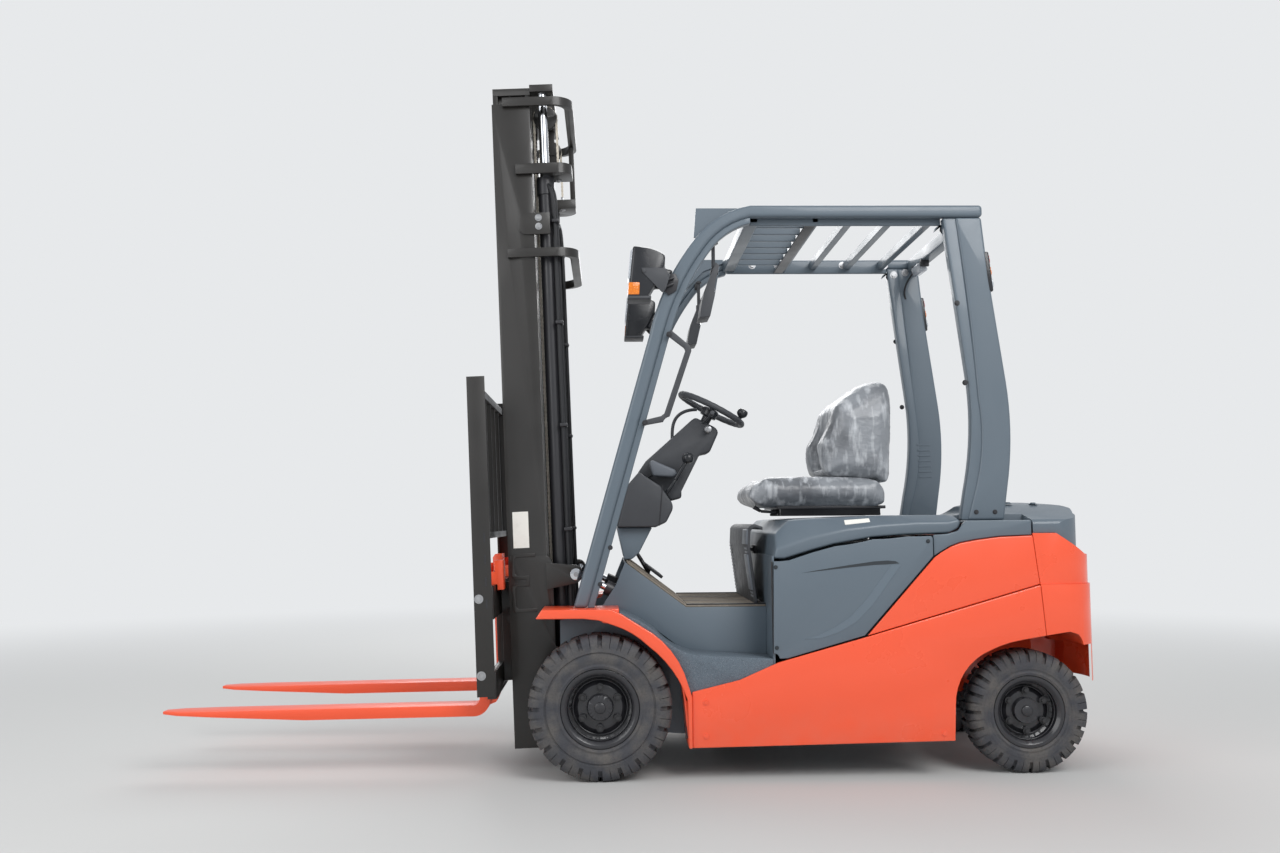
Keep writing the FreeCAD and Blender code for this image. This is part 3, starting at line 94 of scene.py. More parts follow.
FRAME_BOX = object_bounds()
LOW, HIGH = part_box("front_tyre_left")
AXLE_X = (LOW.x + HIGH.x) / 2
PIVOT_Z = 0.26
LEAN = math.radians(2.2)


def at(x, y, z):
    """A point given in millimetres from the front axle, left and up."""
    return Vector((AXLE_X + x / 1000, y / 1000, z / 1000))


def on_mast(x, y, z):
    """A point given in the upright mast's own layout, leaned as the mast stands."""
    x /= 1000
    z = z / 1000 - PIVOT_Z
    return Vector((
        AXLE_X + x * math.cos(LEAN) + z * math.sin(LEAN),
        y / 1000,
        PIVOT_Z - x * math.sin(LEAN) + z * math.cos(LEAN),
    ))


MAST_TURN = Matrix.Rotation(LEAN, 4, "Y")


def colour_of(code):
    """A linear colour from a six-digit screen colour."""
    parts = [int(code[k:k + 2], 16) / 255 for k in (0, 2, 4)]
    return tuple(c / 12.92 if c <= 0.04045 else ((c + 0.055) / 1.055) ** 2.4 for c in parts) + (1.0,)


# Settings


class ForkliftSizes(bpy.types.PropertyGroup):
    edge: FloatProperty(
        name="Edge rounding", description="Rounding of pressed and cast edges", default=0.004, unit="LENGTH"
    )
    fine_edge: FloatProperty(
        name="Fine edge rounding", description="Rounding of sawn steel edges", default=0.0015, unit="LENGTH"
    )
    bolt_radius: FloatProperty(
        name="Bolt size", description="Half the width of a bolt's head", default=0.009, unit="LENGTH"
    )
    chain_pitch: FloatProperty(
        name="Chain pitch", description="Distance between a lift chain's pins", default=0.0159, unit="LENGTH"
    )
    mat_pitch: FloatProperty(
        name="Mat pitch", description="Distance between the floor mat's ribs", default=0.014, unit="LENGTH"
    )
    hose_radius: FloatProperty(
        name="Hose radius", description="Radius of the mast's hydraulic hoses", default=0.008, unit="LENGTH"
    )
    cushion_cap: FloatProperty(
        name="Cushion swell", description="The most that the seat's foam may swell", default=0.012, unit="LENGTH"
    )
    film_gap: FloatProperty(
        name="Film gap", description="How far the clear film stands off the seat", default=0.004, unit="LENGTH"
    )


def shade(name, text, code):
    return FloatVectorProperty(
        name=name, description=text, subtype="COLOR", size=4, min=0, max=1, default=colour_of(code)
    )


class ForkliftColours(bpy.types.PropertyGroup):
    orange: shade("Body orange", "Gloss paint of the body and forks", "EC5530")
    slate: shade("Slate grey", "Satin paint of the guard, hood and steps", "59656F")
    mast: shade("Mast black", "Dark satin paint of the mast", "22201E")
    plastic: shade("Plastic", "Dark moulded plastic", "3A3C40")
    tyre: shade("Tyre", "Solid rubber of the tyres", "3C3D42")
    rim: shade("Rim black", "Gloss paint of the wheel rims", "26262A")
    mat: shade("Mat", "Dusty rubber of the floor mat", "857C70")
    seat: shade("Seat", "Vinyl of the seat", "3C3E43")
    signal: shade("Signal amber", "Lens of the turn signals", "F08A1E")


def sizes():
    return bpy.context.scene.forklift_sizes


def colours():
    return bpy.context.scene.forklift_colours


# Finishes


class Finish:
    """A material under construction: its tree, its shader and short ways to add texture."""

    def __init__(self, name, colour, roughness, metallic=0.0):
        self.material = bpy.data.materials.new(name)
        self.material.use_nodes = True
        self.nodes = self.material.node_tree.nodes
        self.links = self.material.node_tree.links
        self.shader = self.nodes["Principled BSDF"]
        self.colour = tuple(colour)
        self.set("Base Color", self.colour)
        self.set("Roughness", roughness)
        self.set("Metallic", metallic)
        self.place = self.nodes.new("ShaderNodeTexCoord").outputs["Object"]

    def set(self, socket, value):
        self.shader.inputs[socket].default_value = value

    def node(self, kind, **inputs):
        made = self.nodes.new(kind)
        for name, value in inputs.items():
            self.feed(made.inputs[name.replace("_", " ")], value)
        return made

    def feed(self, socket, value):
        if isinstance(value, bpy.types.NodeSocket):
            self.links.new(value, socket)
        else:
            socket.default_value = value

    def noise(self, scale, detail=3.0, stretch=None):
        place = self.place
        if stretch:
            mapping = self.node("ShaderNodeMapping", Vector=place)
            mapping.inputs["Scale"].default_value = stretch
            place = mapping.outputs["Vector"]
        made = self.node("ShaderNodeTexNoise", Vector=place, Scale=scale, Detail=detail)
        return made.outputs["Fac"]

    def cells(self, scale, stretch=None):
        place = self.place
        if stretch:
            mapping = self.node("ShaderNodeMapping", Vector=place)
            mapping.inputs["Scale"].default_value = stretch
            place = mapping.outputs["Vector"]
        made = self.node("ShaderNodeTexVoronoi", Vector=place, Scale=scale)
        return made.outputs["Distance"]

    def spread(self, value, low, high, out_low, out_high):
        made = self.node("ShaderNodeMapRange", Value=value)
        for name, number in (("From Min", low), ("From Max", high), ("To Min", out_low), ("To Max", out_high)):
            made.inputs[name].default_value = number
        return made.outputs["Result"]

    def math(self, kind, first, second=0.5):
        made = self.nodes.new("ShaderNodeMath")
        made.operation = kind
        self.feed(made.inputs[0], first)
        self.feed(made.inputs[1], second)
        return made.outputs[0]

    def mix(self, factor, first, second):
        made = self.nodes.new("ShaderNodeMix")
        made.data_type = "RGBA"
        self.feed(made.inputs[0], factor)
        self.feed(made.inputs[6], first)
        self.feed(made.inputs[7], second)
        return made.outputs[2]

    def height(self):
        made = self.node("ShaderNodeSeparateXYZ", Vector=self.place)
        return made.outputs["Z"]

    def paint_over(self, factor, colour):
        """Lays another colour over the base where factor is high."""
        base = self.shader.inputs["Base Color"]
        first = base.links[0].from_socket if base.links else self.colour
        self.feed(base, self.mix(factor, first, tuple(colour)))

    def vary_roughness(self, value, low, high):
        self.feed(self.shader.inputs["Roughness"], self.spread(value, 0.3, 0.7, low, high))

    def bump(self, value, strength, distance):
        """Adds relief, on top of any relief already there."""
        made = self.node("ShaderNodeBump", Height=value)
        made.inputs["Strength"].default_value = strength
        made.inputs["Distance"].default_value = distance
        normal = self.shader.inputs["Normal"]
        if normal.links:
            self.feed(made.inputs["Normal"], normal.links[0].from_socket)
        self.feed(normal, made.outputs["Normal"])


def scaled(colour, factor):
    return tuple(min(1.0, c * factor) for c in colour[:3]) + (1.0,)


DUST = colour_of("A89F92")


def painted(name, colour, roughness, coat, dust_top, peel=0.1):
    """Sprayed paint: faint cloudiness, orange peel, a clear coat and road dust below a height."""
    f = Finish(name, colour, roughness)
    f.set("Coat Weight", coat)
    f.set("Coat Roughness", 0.08)
    f.paint_over(f.spread(f.noise(2.2, 4.0), 0.35, 0.7, 0.0, 0.2), scaled(colour, 0.9))
    dust = f.math("MULTIPLY", f.spread(f.height(), dust_top, 0.0, 0.0, 0.2), f.spread(f.noise(9.0, 6.0), 0.35, 0.75, 0.0, 1.0))
    f.paint_over(dust, DUST)
    f.vary_roughness(f.noise(6.0, 5.0), roughness * 0.85, min(1.0, roughness * 1.25))
    f.bump(f.noise(420.0, 2.0), peel, 0.0004)
    return f.material


def moulded(name, colour, roughness=0.55):
    """Moulded plastic with a fine leather grain."""
    f = Finish(name, colour, roughness)
    f.paint_over(f.spread(f.noise(3.0, 4.0), 0.4, 0.7, 0.0, 0.4), scaled(colour, 1.3))
    f.vary_roughness(f.noise(30.0, 3.0), roughness * 0.85, roughness * 1.15)
    f.bump(f.cells(900.0), 0.25, 0.0004)
    return f.material


def rubber(name, colour):
    """Solid rubber, dusty, with fine mould texture."""
    f = Finish(name, colour, 0.78)
    dust = f.spread(f.noise(14.0, 7.0), 0.4, 0.72, 0.0, 0.5)
    f.paint_over(dust, scaled(DUST, 0.42))
    fine = f.spread(f.noise(160.0, 4.0), 0.45, 0.7, 0.0, 0.35)
    f.paint_over(fine, scaled(colour, 0.55))
    f.vary_roughness(f.noise(20.0, 4.0), 0.66, 0.9)
    f.bump(f.noise(240.0, 5.0), 0.3, 0.0008)
    return f.material


def bare_steel(name, colour, roughness, stretch=(1, 1, 12), metal=1.0):
    f = Finish(name, colour, roughness, metal)
    f.paint_over(f.spread(f.noise(40.0, 4.0, stretch), 0.35, 0.7, 0.0, 0.5), scaled(colour, 0.6))
    f.vary_roughness(f.noise(60.0, 3.0, stretch), roughness * 0.7, roughness * 1.4)
    f.bump(f.noise(300.0, 2.0, stretch), 0.15, 0.0003)
    return f.material


def make_finishes():
    c = colours()
    made = {
        "orange": painted("body_orange", c.orange, 0.3, 0.45, 0.30, 0.06),
        "fork_orange": painted("fork_orange", c.orange, 0.42, 0.15, 0.0, 0.12),
        "slate": painted("slate_grey", c.slate, 0.42, 0.25, 0.0, 0.12),
        "mast": painted("mast_black", c.mast, 0.38, 0.2, 0.0, 0.12),
        "black": painted("satin_black", colour_of("26262A"), 0.4, 0.1, 0.0, 0.12),
        "rim": painted("rim_black", c.rim, 0.32, 0.35, 0.0, 0.08),
        "iron": painted("cast_black", colour_of("2A2A2C"), 0.6, 0.0, 0.0, 0.3),
        "plastic": moulded("grained_plastic", c.plastic),
        "gloss_plastic": moulded("gloss_plastic", colour_of("202226"), 0.25),
        "grey_plastic": moulded("grey_plastic", colour_of("5C6168"), 0.5),
        # Slate darkened to about a fifth: painted shade for the battery covers' groove, and the dark bolt heads on
        # them.
        "dark_slate": painted("dark_slate", scaled(c.slate, 0.22), 0.5, 0.0, 0.0, 0.12),
        # Slate lightened a little: a painted highlight for the battery covers' band.
        "light_slate": painted("light_slate", scaled(c.slate, 1.12), 0.45, 0.1, 0.0, 0.12),
        "tyre": rubber("tyre_rubber", c.tyre),
        "hose": moulded("hose_rubber", colour_of("1C1D20"), 0.5),
        "steel": bare_steel("zinc_steel", colour_of("B9BABC"), 0.35, (1, 1, 1)),
        "chain": bare_steel("oiled_chain", colour_of("D2CABC"), 0.5, (1, 1, 1), 0.45),
    }
    chrome = Finish("hard_chrome", colour_of("D4D6DA"), 0.08, 1.0)
    chrome.paint_over(chrome.spread(chrome.noise(5.0, 3.0), 0.5, 0.75, 0.0, 0.3), colour_of("8E9094"))
    chrome.vary_roughness(chrome.noise(20.0, 3.0), 0.05, 0.14)
    made["chrome"] = chrome.material
    mat = Finish("floor_mat_rubber", c.mat, 0.85)
    mat.paint_over(mat.spread(mat.noise(5.0, 6.0), 0.35, 0.65, 0.0, 0.6), colour_of("5D564E"))
    mat.paint_over(mat.spread(mat.noise(60.0, 4.0), 0.5, 0.75, 0.0, 0.4), colour_of("A39A8B"))
    mat.bump(mat.noise(200.0, 4.0), 0.3, 0.0006)
    made["mat"] = mat.material
    tread = Finish("step_grit", c.slate, 0.75)
    tread.paint_over(tread.spread(tread.cells(260.0), 0.25, 0.1, 0.0, 0.8), colour_of("9AA0A8"))
    tread.paint_over(tread.spread(tread.noise(380.0, 2.0), 0.56, 0.62, 0.0, 0.7), colour_of("3E434B"))
    tread.bump(tread.cells(300.0), 0.6, 0.001)
    made["tread"] = tread.material
    seat = Finish("covered_seat", c.seat, 0.42)
    seat.set("Coat Weight", 0.35)
    seat.set("Coat Roughness", 0.2)
    veil = seat.spread(seat.noise(5.0, 4.0, (1.0, 0.7, 1.2)), 0.34, 0.6, 0.25, 0.9)
    seat.paint_over(veil, colour_of("8B8F94"))
    # Whitish streaks: painted highlights of the clear film's wrinkles, laid over the film's milky tint.
    film_highlights = seat.spread(seat.noise(12.0, 6.0, (3.0, 2.0, 0.7)), 0.5, 0.7, 0.0, 0.75)
    seat.paint_over(film_highlights, colour_of("C6C9CD"))
    seat.vary_roughness(seat.noise(18.0, 4.0), 0.34, 0.55)
    seat.bump(seat.noise(26.0, 5.0, (1.0, 1.3, 2.0)), 0.45, 0.008)
    made["seat"] = seat.material
    lens = Finish("clear_lens", colour_of("C9CED4"), 0.08)
    lens.set("Coat Weight", 0.5)
    lens.paint_over(lens.spread(lens.cells(120.0), 0.1, 0.5, 0.0, 0.6), colour_of("8C9198"))
    lens.bump(lens.cells(120.0), 0.4, 0.002)
    made["lens"] = lens.material
    amber = Finish("amber_lens", c.signal, 0.15)
    amber.set("Coat Weight", 0.5)
    amber.paint_over(amber.spread(amber.cells(140.0), 0.1, 0.5, 0.0, 0.5), colour_of("B8540C"))
    amber.bump(amber.cells(140.0), 0.4, 0.002)
    made["amber"] = amber.material
    red = Finish("red_lens", colour_of("B3231F"), 0.15)
    red.set("Coat Weight", 0.5)
    red.paint_over(red.spread(red.cells(140.0), 0.1, 0.5, 0.0, 0.5), colour_of("7A1210"))
    red.bump(red.cells(140.0), 0.4, 0.002)
    made["red"] = red.material
    mirror = Finish("mirror_glass", colour_of("C8CDD2"), 0.04, 1.0)
    mirror.vary_roughness(mirror.noise(8.0, 2.0), 0.02, 0.06)
    made["mirror"] = mirror.material
    label = Finish("blank_label", colour_of("E9E7E0"), 0.45)
    label.paint_over(label.spread(label.noise(30.0, 4.0), 0.5, 0.8, 0.0, 0.3), colour_of("C8C4B8"))
    made["label"] = label.material
    return made


FINISHES = {}


def finish(name):
    if not FINISHES:
        FINISHES.update(make_finishes())
    return FINISHES[name]


def dress(node, name):
    """Gives a CAD node a finish."""
    slots = frame["nodes"][node].data.materials
    slots.clear()
    slots.append(finish(name))


# Making pieces


def add_mesh(name, mesh, material, body, smooth=True):
    """Puts a finished mesh in the scene as a piece on a body."""
    mesh.materials.clear()
    mesh.materials.append(finish(material))
    if smooth:
        mesh.polygons.foreach_set("use_smooth", [True] * len(mesh.polygons))
        mesh.set_sharp_from_angle(angle=math.radians(32))
    thing = bpy.data.objects.new(name, mesh)
    bpy.context.scene.collection.objects.link(thing)
    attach(thing, body)
    return thing


def settled(thing):
    """The thing's evaluated mesh, and the thing removed."""
    bpy.context.view_layer.update()
    graph = bpy.context.evaluated_depsgraph_get()
    mesh = bpy.data.meshes.new_from_object(thing.evaluated_get(graph), depsgraph=graph)
    bpy.data.objects.remove(thing)
    return mesh


def rounded(node, material, width, segments=2, angle=28):
    """A copy of a CAD node with its edges rounded, which stands for it."""
    source = frame["nodes"][node]
    work = bmesh.new()
    work.from_mesh(source.data)
    bmesh.ops.remove_doubles(work, verts=work.verts, dist=2e-5)
    bmesh.ops.dissolve_limit(work, angle_limit=math.radians(0.6), verts=work.verts, edges=work.edges)
    mesh = bpy.data.meshes.new(node + "_shell")
    work.to_mesh(mesh)
    work.free()
    thing = bpy.data.objects.new(node + "_work", mesh)
    bpy.context.scene.collection.objects.link(thing)
    bevel = thing.modifiers.new("Round", "BEVEL")
    bevel.width = width
    bevel.segments = segments
    bevel.limit_method = "ANGLE"
    bevel.angle_limit = math.radians(angle)
    bevel.miter_outer = "MITER_ARC"
    bevel.use_clamp_overlap = True
    even = thing.modifiers.new("Even", "WEIGHTED_NORMAL")
    even.keep_sharp = True
    final = settled(thing)
    piece = add_mesh(node + "_shell", final, material, source["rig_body"])
    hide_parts(node)
    return piece


def block(work, low, high, turn=None, centre=None):
    """A box between two corners in a mesh under construction."""
    low, high = Vector(low), Vector(high)
    made = bmesh.ops.create_cube(work, size=1.0)["verts"]
    size = high - low
    middle = (low + high) / 2
    for v in made:
        v.co = Vector((v.co.x * size.x, v.co.y * size.y, v.co.z * size.z)) + middle
    if turn:
        bmesh.ops.rotate(work, verts=made, cent=centre or middle, matrix=turn)
    return made


def rod(work, start, end, radius, sides=16, radius_end=None):
    """A round bar between two points."""
    start, end = Vector(start), Vector(end)
    way = end - start
    made = bmesh.ops.create_cone(
        work, cap_ends=True, segments=sides, radius1=radius,
        radius2=radius if radius_end is None else radius_end, depth=way.length
    )["verts"]
    turn = Vector((0, 0, 1)).rotation_difference(way.normalized()).to_matrix()
    for v in made:
        v.co = turn @ v.co + (start + end) / 2
    return made


def mesh_from(work, name):
    bmesh.ops.recalc_face_normals(work, faces=work.faces)
    mesh = bpy.data.meshes.new(name)
    work.to_mesh(mesh)
    work.free()
    return mesh


def bevelled(mesh, width, segments=2, angle=35):
    thing = bpy.data.objects.new(mesh.name + "_work", mesh)
    bpy.context.scene.collection.objects.link(thing)
    bevel = thing.modifiers.new("Round", "BEVEL")
    bevel.width = width
    bevel.segments = segments
    bevel.limit_method = "ANGLE"
    bevel.angle_limit = math.radians(angle)
    even = thing.modifiers.new("Even", "WEIGHTED_NORMAL")
    even.keep_sharp = True
    return settled(thing)


def tube_mesh(name, points, radius, resolution=3, order=4):
    """A round hose or bar along a smooth line through control points."""
    curve = bpy.data.curves.new(name, "CURVE")
    curve.dimensions = "3D"
    curve.bevel_depth = radius
    curve.bevel_resolution = resolution
    curve.resolution_u = 8
    curve.use_fill_caps = True
    spline = curve.splines.new("NURBS")
    spline.points.add(len(points) - 1)
    for k, p in enumerate(points):
        spline.points[k].co = (*p, 1.0)
    spline.order_u = min(order, len(points))
    spline.use_endpoint_u = True
    thing = bpy.data.objects.new(name, curve)
    bpy.context.scene.collection.objects.link(thing)
    return settled(thing)


# Helpers for pieces laid out in millimetres


def piece(name, work, material, body, slot=None, place=at, width=0.0, segments=2, angle=35):
    """Places a mesh under construction, rounds its edges and adds it to a body."""
    for v in work.verts:
        v.co = place(*v.co)
    mesh = mesh_from(work, name)
    if width:
        mesh = bevelled(mesh, width, segments, angle)
    return add_mesh(name, mesh, material, body)


def prism(work, outline, low, high, axis="Y"):
    """Pushes a flat outline out between two levels along an axis."""
    order = {"Y": (0, 2, 1), "X": (1, 2, 0), "Z": (0, 1, 2)}[axis]
    rings = []
    for level in (low, high):
        ring = []
        for a, b in outline:
            co = [0.0, 0.0, 0.0]
            co[order[0]], co[order[1]], co[order[2]] = a, b, level
            ring.append(work.verts.new(co))
        rings.append(ring)
    count = len(outline)
    work.faces.new(rings[0])
    work.faces.new(list(reversed(rings[1])))
    for k in range(count):
        n = (k + 1) % count
        work.faces.new((rings[0][k], rings[1][k], rings[1][n], rings[0][n]))
    return rings[0] + rings[1]


def lathe(work, profile, centre, axis="Y", steps=40):
    """Spins a profile of (along, radius) about an axis through a centre."""
    along = {"X": 0, "Y": 1, "Z": 2}[axis]
    others = [k for k in range(3) if k != along]
    rings = []
    for reach, radius in profile:
        ring = []
        for k in range(steps):
            angle = 2 * math.pi * k / steps
            co = list(centre)
            co[along] += reach
            co[others[0]] += radius * math.cos(angle)
            co[others[1]] += radius * math.sin(angle)
            ring.append(work.verts.new(co))
        rings.append(ring)
    closed = profile[0] == profile[-1]
    if closed:
        bmesh.ops.delete(work, geom=rings.pop(), context="VERTS")
        rings.append(rings[0])
    for first, second in zip(rings, rings[1:]):
        for k in range(steps):
            n = (k + 1) % steps
            work.faces.new((first[k], first[n], second[n], second[k]))
    for ring in () if closed else (rings[0], list(reversed(rings[-1]))):
        work.faces.new(ring)
    return [v for ring in rings for v in ring]


def turned(work, verts, angle, axis, centre):
    """Turns some points of a mesh under construction."""
    bmesh.ops.rotate(
        work, verts=verts, cent=Vector(centre), matrix=Matrix.Rotation(math.radians(angle), 3, axis)
    )


def mirrored(outline):
    return [(x, -y, z) for x, y, z in outline]


class Tree:
    """A Geometry Nodes tree with named inputs, which ends in plain faces of one finish."""

    def __init__(self, name, **fields):
        self.group = bpy.data.node_groups.new(name, "GeometryNodeTree")
        face = self.group.interface
        face.new_socket("Geometry", in_out="INPUT", socket_type="NodeSocketGeometry")
        self.keys = {}
        for label, (kind, default) in fields.items():
            socket = face.new_socket(label, in_out="INPUT", socket_type="NodeSocket" + kind)
            if default is not None:
                socket.default_value = default
            self.keys[label] = socket.identifier
        socket = face.new_socket("Finish", in_out="INPUT", socket_type="NodeSocketMaterial")
        self.keys["Finish"] = socket.identifier
        face.new_socket("Geometry", in_out="OUTPUT", socket_type="NodeSocketGeometry")
        self.entry = self.group.nodes.new("NodeGroupInput")

    def field(self, label):
        return self.entry.outputs[label]

    def put(self, kind, settings=(), **inputs):
        made = self.group.nodes.new(kind)
        for name, value in dict(settings).items():
            setattr(made, name, value)
        for name, value in inputs.items():
            self.join(value, made.inputs[name.replace("_", " ")])
        return made

    def join(self, value, socket):
        if isinstance(value, bpy.types.NodeSocket):
            self.group.links.new(value, socket)
        else:
            socket.default_value = value

    def times(self, value, factor):
        made = self.group.nodes.new("ShaderNodeMath")
        made.operation = "MULTIPLY"
        self.join(value, made.inputs[0])
        self.join(factor, made.inputs[1])
        return made.outputs[0]

    def raised(self, geometry, height):
        up = self.put("ShaderNodeCombineXYZ", Z=height).outputs[0]
        return self.put("GeometryNodeTransform", Geometry=geometry, Translation=up).outputs[0]

    def joined(self, *parts):
        made = self.group.nodes.new("GeometryNodeJoinGeometry")
        for part in parts:
            self.group.links.new(part, made.inputs[0])
        return made.outputs[0]

    def close(self, geometry):
        real = self.put("GeometryNodeRealizeInstances", Geometry=geometry)
        paint = self.put("GeometryNodeSetMaterial", Geometry=real.outputs[0], Material=self.field("Finish"))
        self.group.links.new(paint.outputs[0], self.group.nodes.new("NodeGroupOutput").inputs[0])
        return self

    def run(self, name, mesh, material, **values):
        thing = bpy.data.objects.new(name, mesh)
        bpy.context.scene.collection.objects.link(thing)
        modifier = thing.modifiers.new(name, "NODES")
        modifier.node_group = self.group
        modifier[self.keys["Finish"]] = finish(material)
        for label, value in values.items():
            modifier[self.keys[label]] = value
        return settled(thing)


TREES = {}


def bolt_tree():
    """Hexagon heads on washers, one at each point, facing along the point's way."""
    tree = Tree("bolt_heads", Radius=("Float", 0.009), Height=("Float", 0.006))
    radius, height = tree.field("Radius"), tree.field("Height")
    head = tree.put("GeometryNodeMeshCylinder", Vertices=6, Radius=radius, Depth=height).outputs["Mesh"]
    crown = tree.put(
        "GeometryNodeMeshCylinder", Vertices=18, Radius=tree.times(radius, 0.72), Depth=tree.times(height, 0.3)
    ).outputs["Mesh"]
    washer = tree.put(
        "GeometryNodeMeshCylinder", Vertices=20, Radius=tree.times(radius, 1.5), Depth=tree.times(height, 0.34)
    ).outputs["Mesh"]
    bolt = tree.joined(
        tree.raised(head, tree.times(height, 0.6)), tree.raised(crown, tree.times(height, 1.1)), washer
    )
    way = tree.put("GeometryNodeInputNamedAttribute", {"data_type": "FLOAT_VECTOR"}, Name="way")
    turn = tree.put("FunctionNodeAlignRotationToVector", {"axis": "Z"}, Vector=way.outputs["Attribute"])
    spread = tree.put(
        "GeometryNodeInstanceOnPoints", Points=tree.field("Geometry"), Instance=bolt, Rotation=turn.outputs[0]
    )
    return tree.close(spread.outputs[0])


def row_tree():
    """A straight row of like bars."""
    tree = Tree(
        "bar_row",
        Count=("Int", 5), Start=("Vector", (0, 0, 0)), Step=("Vector", (0, 0, 0.01)),
        Size=("Vector", (0.01, 0.01, 0.01)), Turn=("Vector", (0, 0, 0)),
    )
    line = tree.put(
        "GeometryNodeMeshLine", Count=tree.field("Count"), Start_Location=tree.field("Start"),
        Offset=tree.field("Step"),
    )
    bar = tree.put("GeometryNodeMeshCube", Size=tree.field("Size")).outputs["Mesh"]
    turn = tree.put("FunctionNodeEulerToRotation", Euler=tree.field("Turn"))
    spread = tree.put(
        "GeometryNodeInstanceOnPoints", Points=line.outputs[0], Instance=bar, Rotation=turn.outputs[0]
    )
    return tree.close(spread.outputs[0])


def chain_tree():
    """Leaf chain along a line: wide and narrow links by turns, one to a pitch."""
    tree = Tree("leaf_chain", Pitch=("Float", 0.0159), Wide=("Object", None), Narrow=("Object", None))
    line = tree.put("GeometryNodeMeshToCurve", Mesh=tree.field("Geometry")).outputs[0]
    points = tree.put(
        "GeometryNodeCurveToPoints", {"mode": "LENGTH"}, Curve=line, Length=tree.field("Pitch")
    )
    turn = tree.put(
        "FunctionNodeAlignRotationToVector", {"axis": "Z", "pivot_axis": "Y"}, Vector=points.outputs["Tangent"]
    ).outputs[0]
    odd = tree.group.nodes.new("ShaderNodeMath")
    odd.operation = "MODULO"
    tree.join(tree.put("GeometryNodeInputIndex").outputs[0], odd.inputs[0])
    odd.inputs[1].default_value = 2
    even = tree.group.nodes.new("ShaderNodeMath")
    even.operation = "SUBTRACT"
    even.inputs[0].default_value = 1
    tree.join(odd.outputs[0], even.inputs[1])
    rows = []
    for label, chosen in (("Wide", odd.outputs[0]), ("Narrow", even.outputs[0])):
        link = tree.put("GeometryNodeObjectInfo", Object=tree.field(label)).outputs["Geometry"]
        rows.append(
            tree.put(
                "GeometryNodeInstanceOnPoints", Points=points.outputs["Points"], Selection=chosen,
                Instance=link, Rotation=turn,
            ).outputs[0]
        )
    return tree.close(tree.joined(*rows))


def tree(name):
    if not TREES:
        TREES.update(bolts=bolt_tree(), rows=row_tree(), chain=chain_tree())
    return TREES[name]


def bolts(name, spots, body, material="steel", radius=None, height=0.006, place=at):
    """Bolt heads at spots of (x, y, z, way x, way y, way z)."""
    mesh = bpy.data.meshes.new(name)
    points, ways = [], []
    for x, y, z, a, b, c in spots:
        spot = place(x, y, z)
        points.append(spot)
        ways.extend((place(x + a * 10, y + b * 10, z + c * 10) - spot).normalized())
    mesh.from_pydata([tuple(p) for p in points], [], [])
    mesh.attributes.new("way", "FLOAT_VECTOR", "POINT").data.foreach_set("vector", ways)
    made = tree("bolts").run(name, mesh, material, Radius=radius or sizes().bolt_radius, Height=height)
    return add_mesh(name, made, material, body)


def both_sides(spots):
    return [*spots, *((x, -y, z, a, -b, c) for x, y, z, a, b, c in spots)]


def row(name, count, start, step, size, material, body, turn=(0, 0, 0), place=at, width=0.0006, slot=None):
    """A row of bars, from millimetres."""
    origin = place(*start)
    made = tree("rows").run(
        name, bpy.data.meshes.new(name), material, Count=count, Start=tuple(origin),
        Step=tuple(place(*(Vector(start) + Vector(step))) - origin), Size=tuple(v / 1000 for v in size),
        Turn=tuple(math.radians(v) for v in turn),
    )
    if width:
        made = bevelled(made, width, 1)
    return add_mesh(name, made, material, body)


# Wheels

NOTCHES = 20
NOTCH_OFFSETS = (-2.0, -1.7, -0.3, -0.15, 0.15, 0.3, 1.7, 2.0, 7.0, 7.3, 8.7, 8.85, 9.15, 9.3, 10.7, 11.0)


def notch_depth(angle, shift):
    """How deep the tread is cut at an angle: 1 in a notch, less in a sipe."""
    pitch = 360 / NOTCHES
    off = abs((angle - shift + pitch / 2) % pitch - pitch / 2)
    if off < 1.8:
        return 1.0
    return 0.4 if off > pitch / 2 - 0.3 else 0.0


def tyre_mesh(name, radius, rim, half, centre):
    """A solid tyre: bulged walls, a ring line, and blocks cut by notches and sipes."""
    side = (
        (half - 12, rim + 0.3), (half - 5, rim + 3), (half - 2, rim + 11), (half - 4.5, rim + 17),
        (half - 4.5, rim + 20), (half - 1.5, rim + 27), (half - 0.3, rim + (radius - rim) * 0.4),
        (half - 1, radius - 67), (half - 4.5, radius - 64), (half - 4.5, radius - 61), (half - 0.6, radius - 58),
        (half - 2, radius - 44), (half - 3, radius - 32), (half - 7, radius - 20), (half - 13, radius - 9), (half - 22, radius - 3),
        (half - 34, radius), (half * 0.4, radius), (5.5, radius), (3.5, radius - 10), (0.0, radius - 10),
    )
    rows = [(a, r, 0) for a, r in side] + [(-a, r, 9) for a, r in reversed(side[:-1])]
    angles = [k * 360 / NOTCHES + off for k in range(NOTCHES) for off in NOTCH_OFFSETS]
    verts = []
    for angle in angles:
        turn = math.radians(angle)
        for a, r, shift in rows:
            cut = notch_depth(angle, shift)
            fade = max(0.0, min(1.0, (r - (radius - 44)) / 12))
            on_tread = max(0.0, min(1.0, (r - (radius - 14)) / 8))
            a -= math.copysign(12 * cut * fade * (1 if abs(a) > half - 40 else 0), a)
            r -= 12 * cut * on_tread
            verts.append((centre.x + r / 1000 * math.sin(turn), centre.y + a / 1000, centre.z + r / 1000 * math.cos(turn)))
    count, across = len(angles), len(rows)
    faces = []
    for k in range(count):
        n = (k + 1) % count
        for j in range(across):
            m = (j + 1) % across
            faces.append((k * across + j, k * across + m, n * across + m, n * across + j))
    mesh = bpy.data.meshes.new(name)
    mesh.from_pydata(verts, [], faces)
    work = bmesh.new()
    work.from_mesh(mesh)
    bmesh.ops.recalc_face_normals(work, faces=work.faces)
    work.to_mesh(mesh)
    work.free()
    return mesh


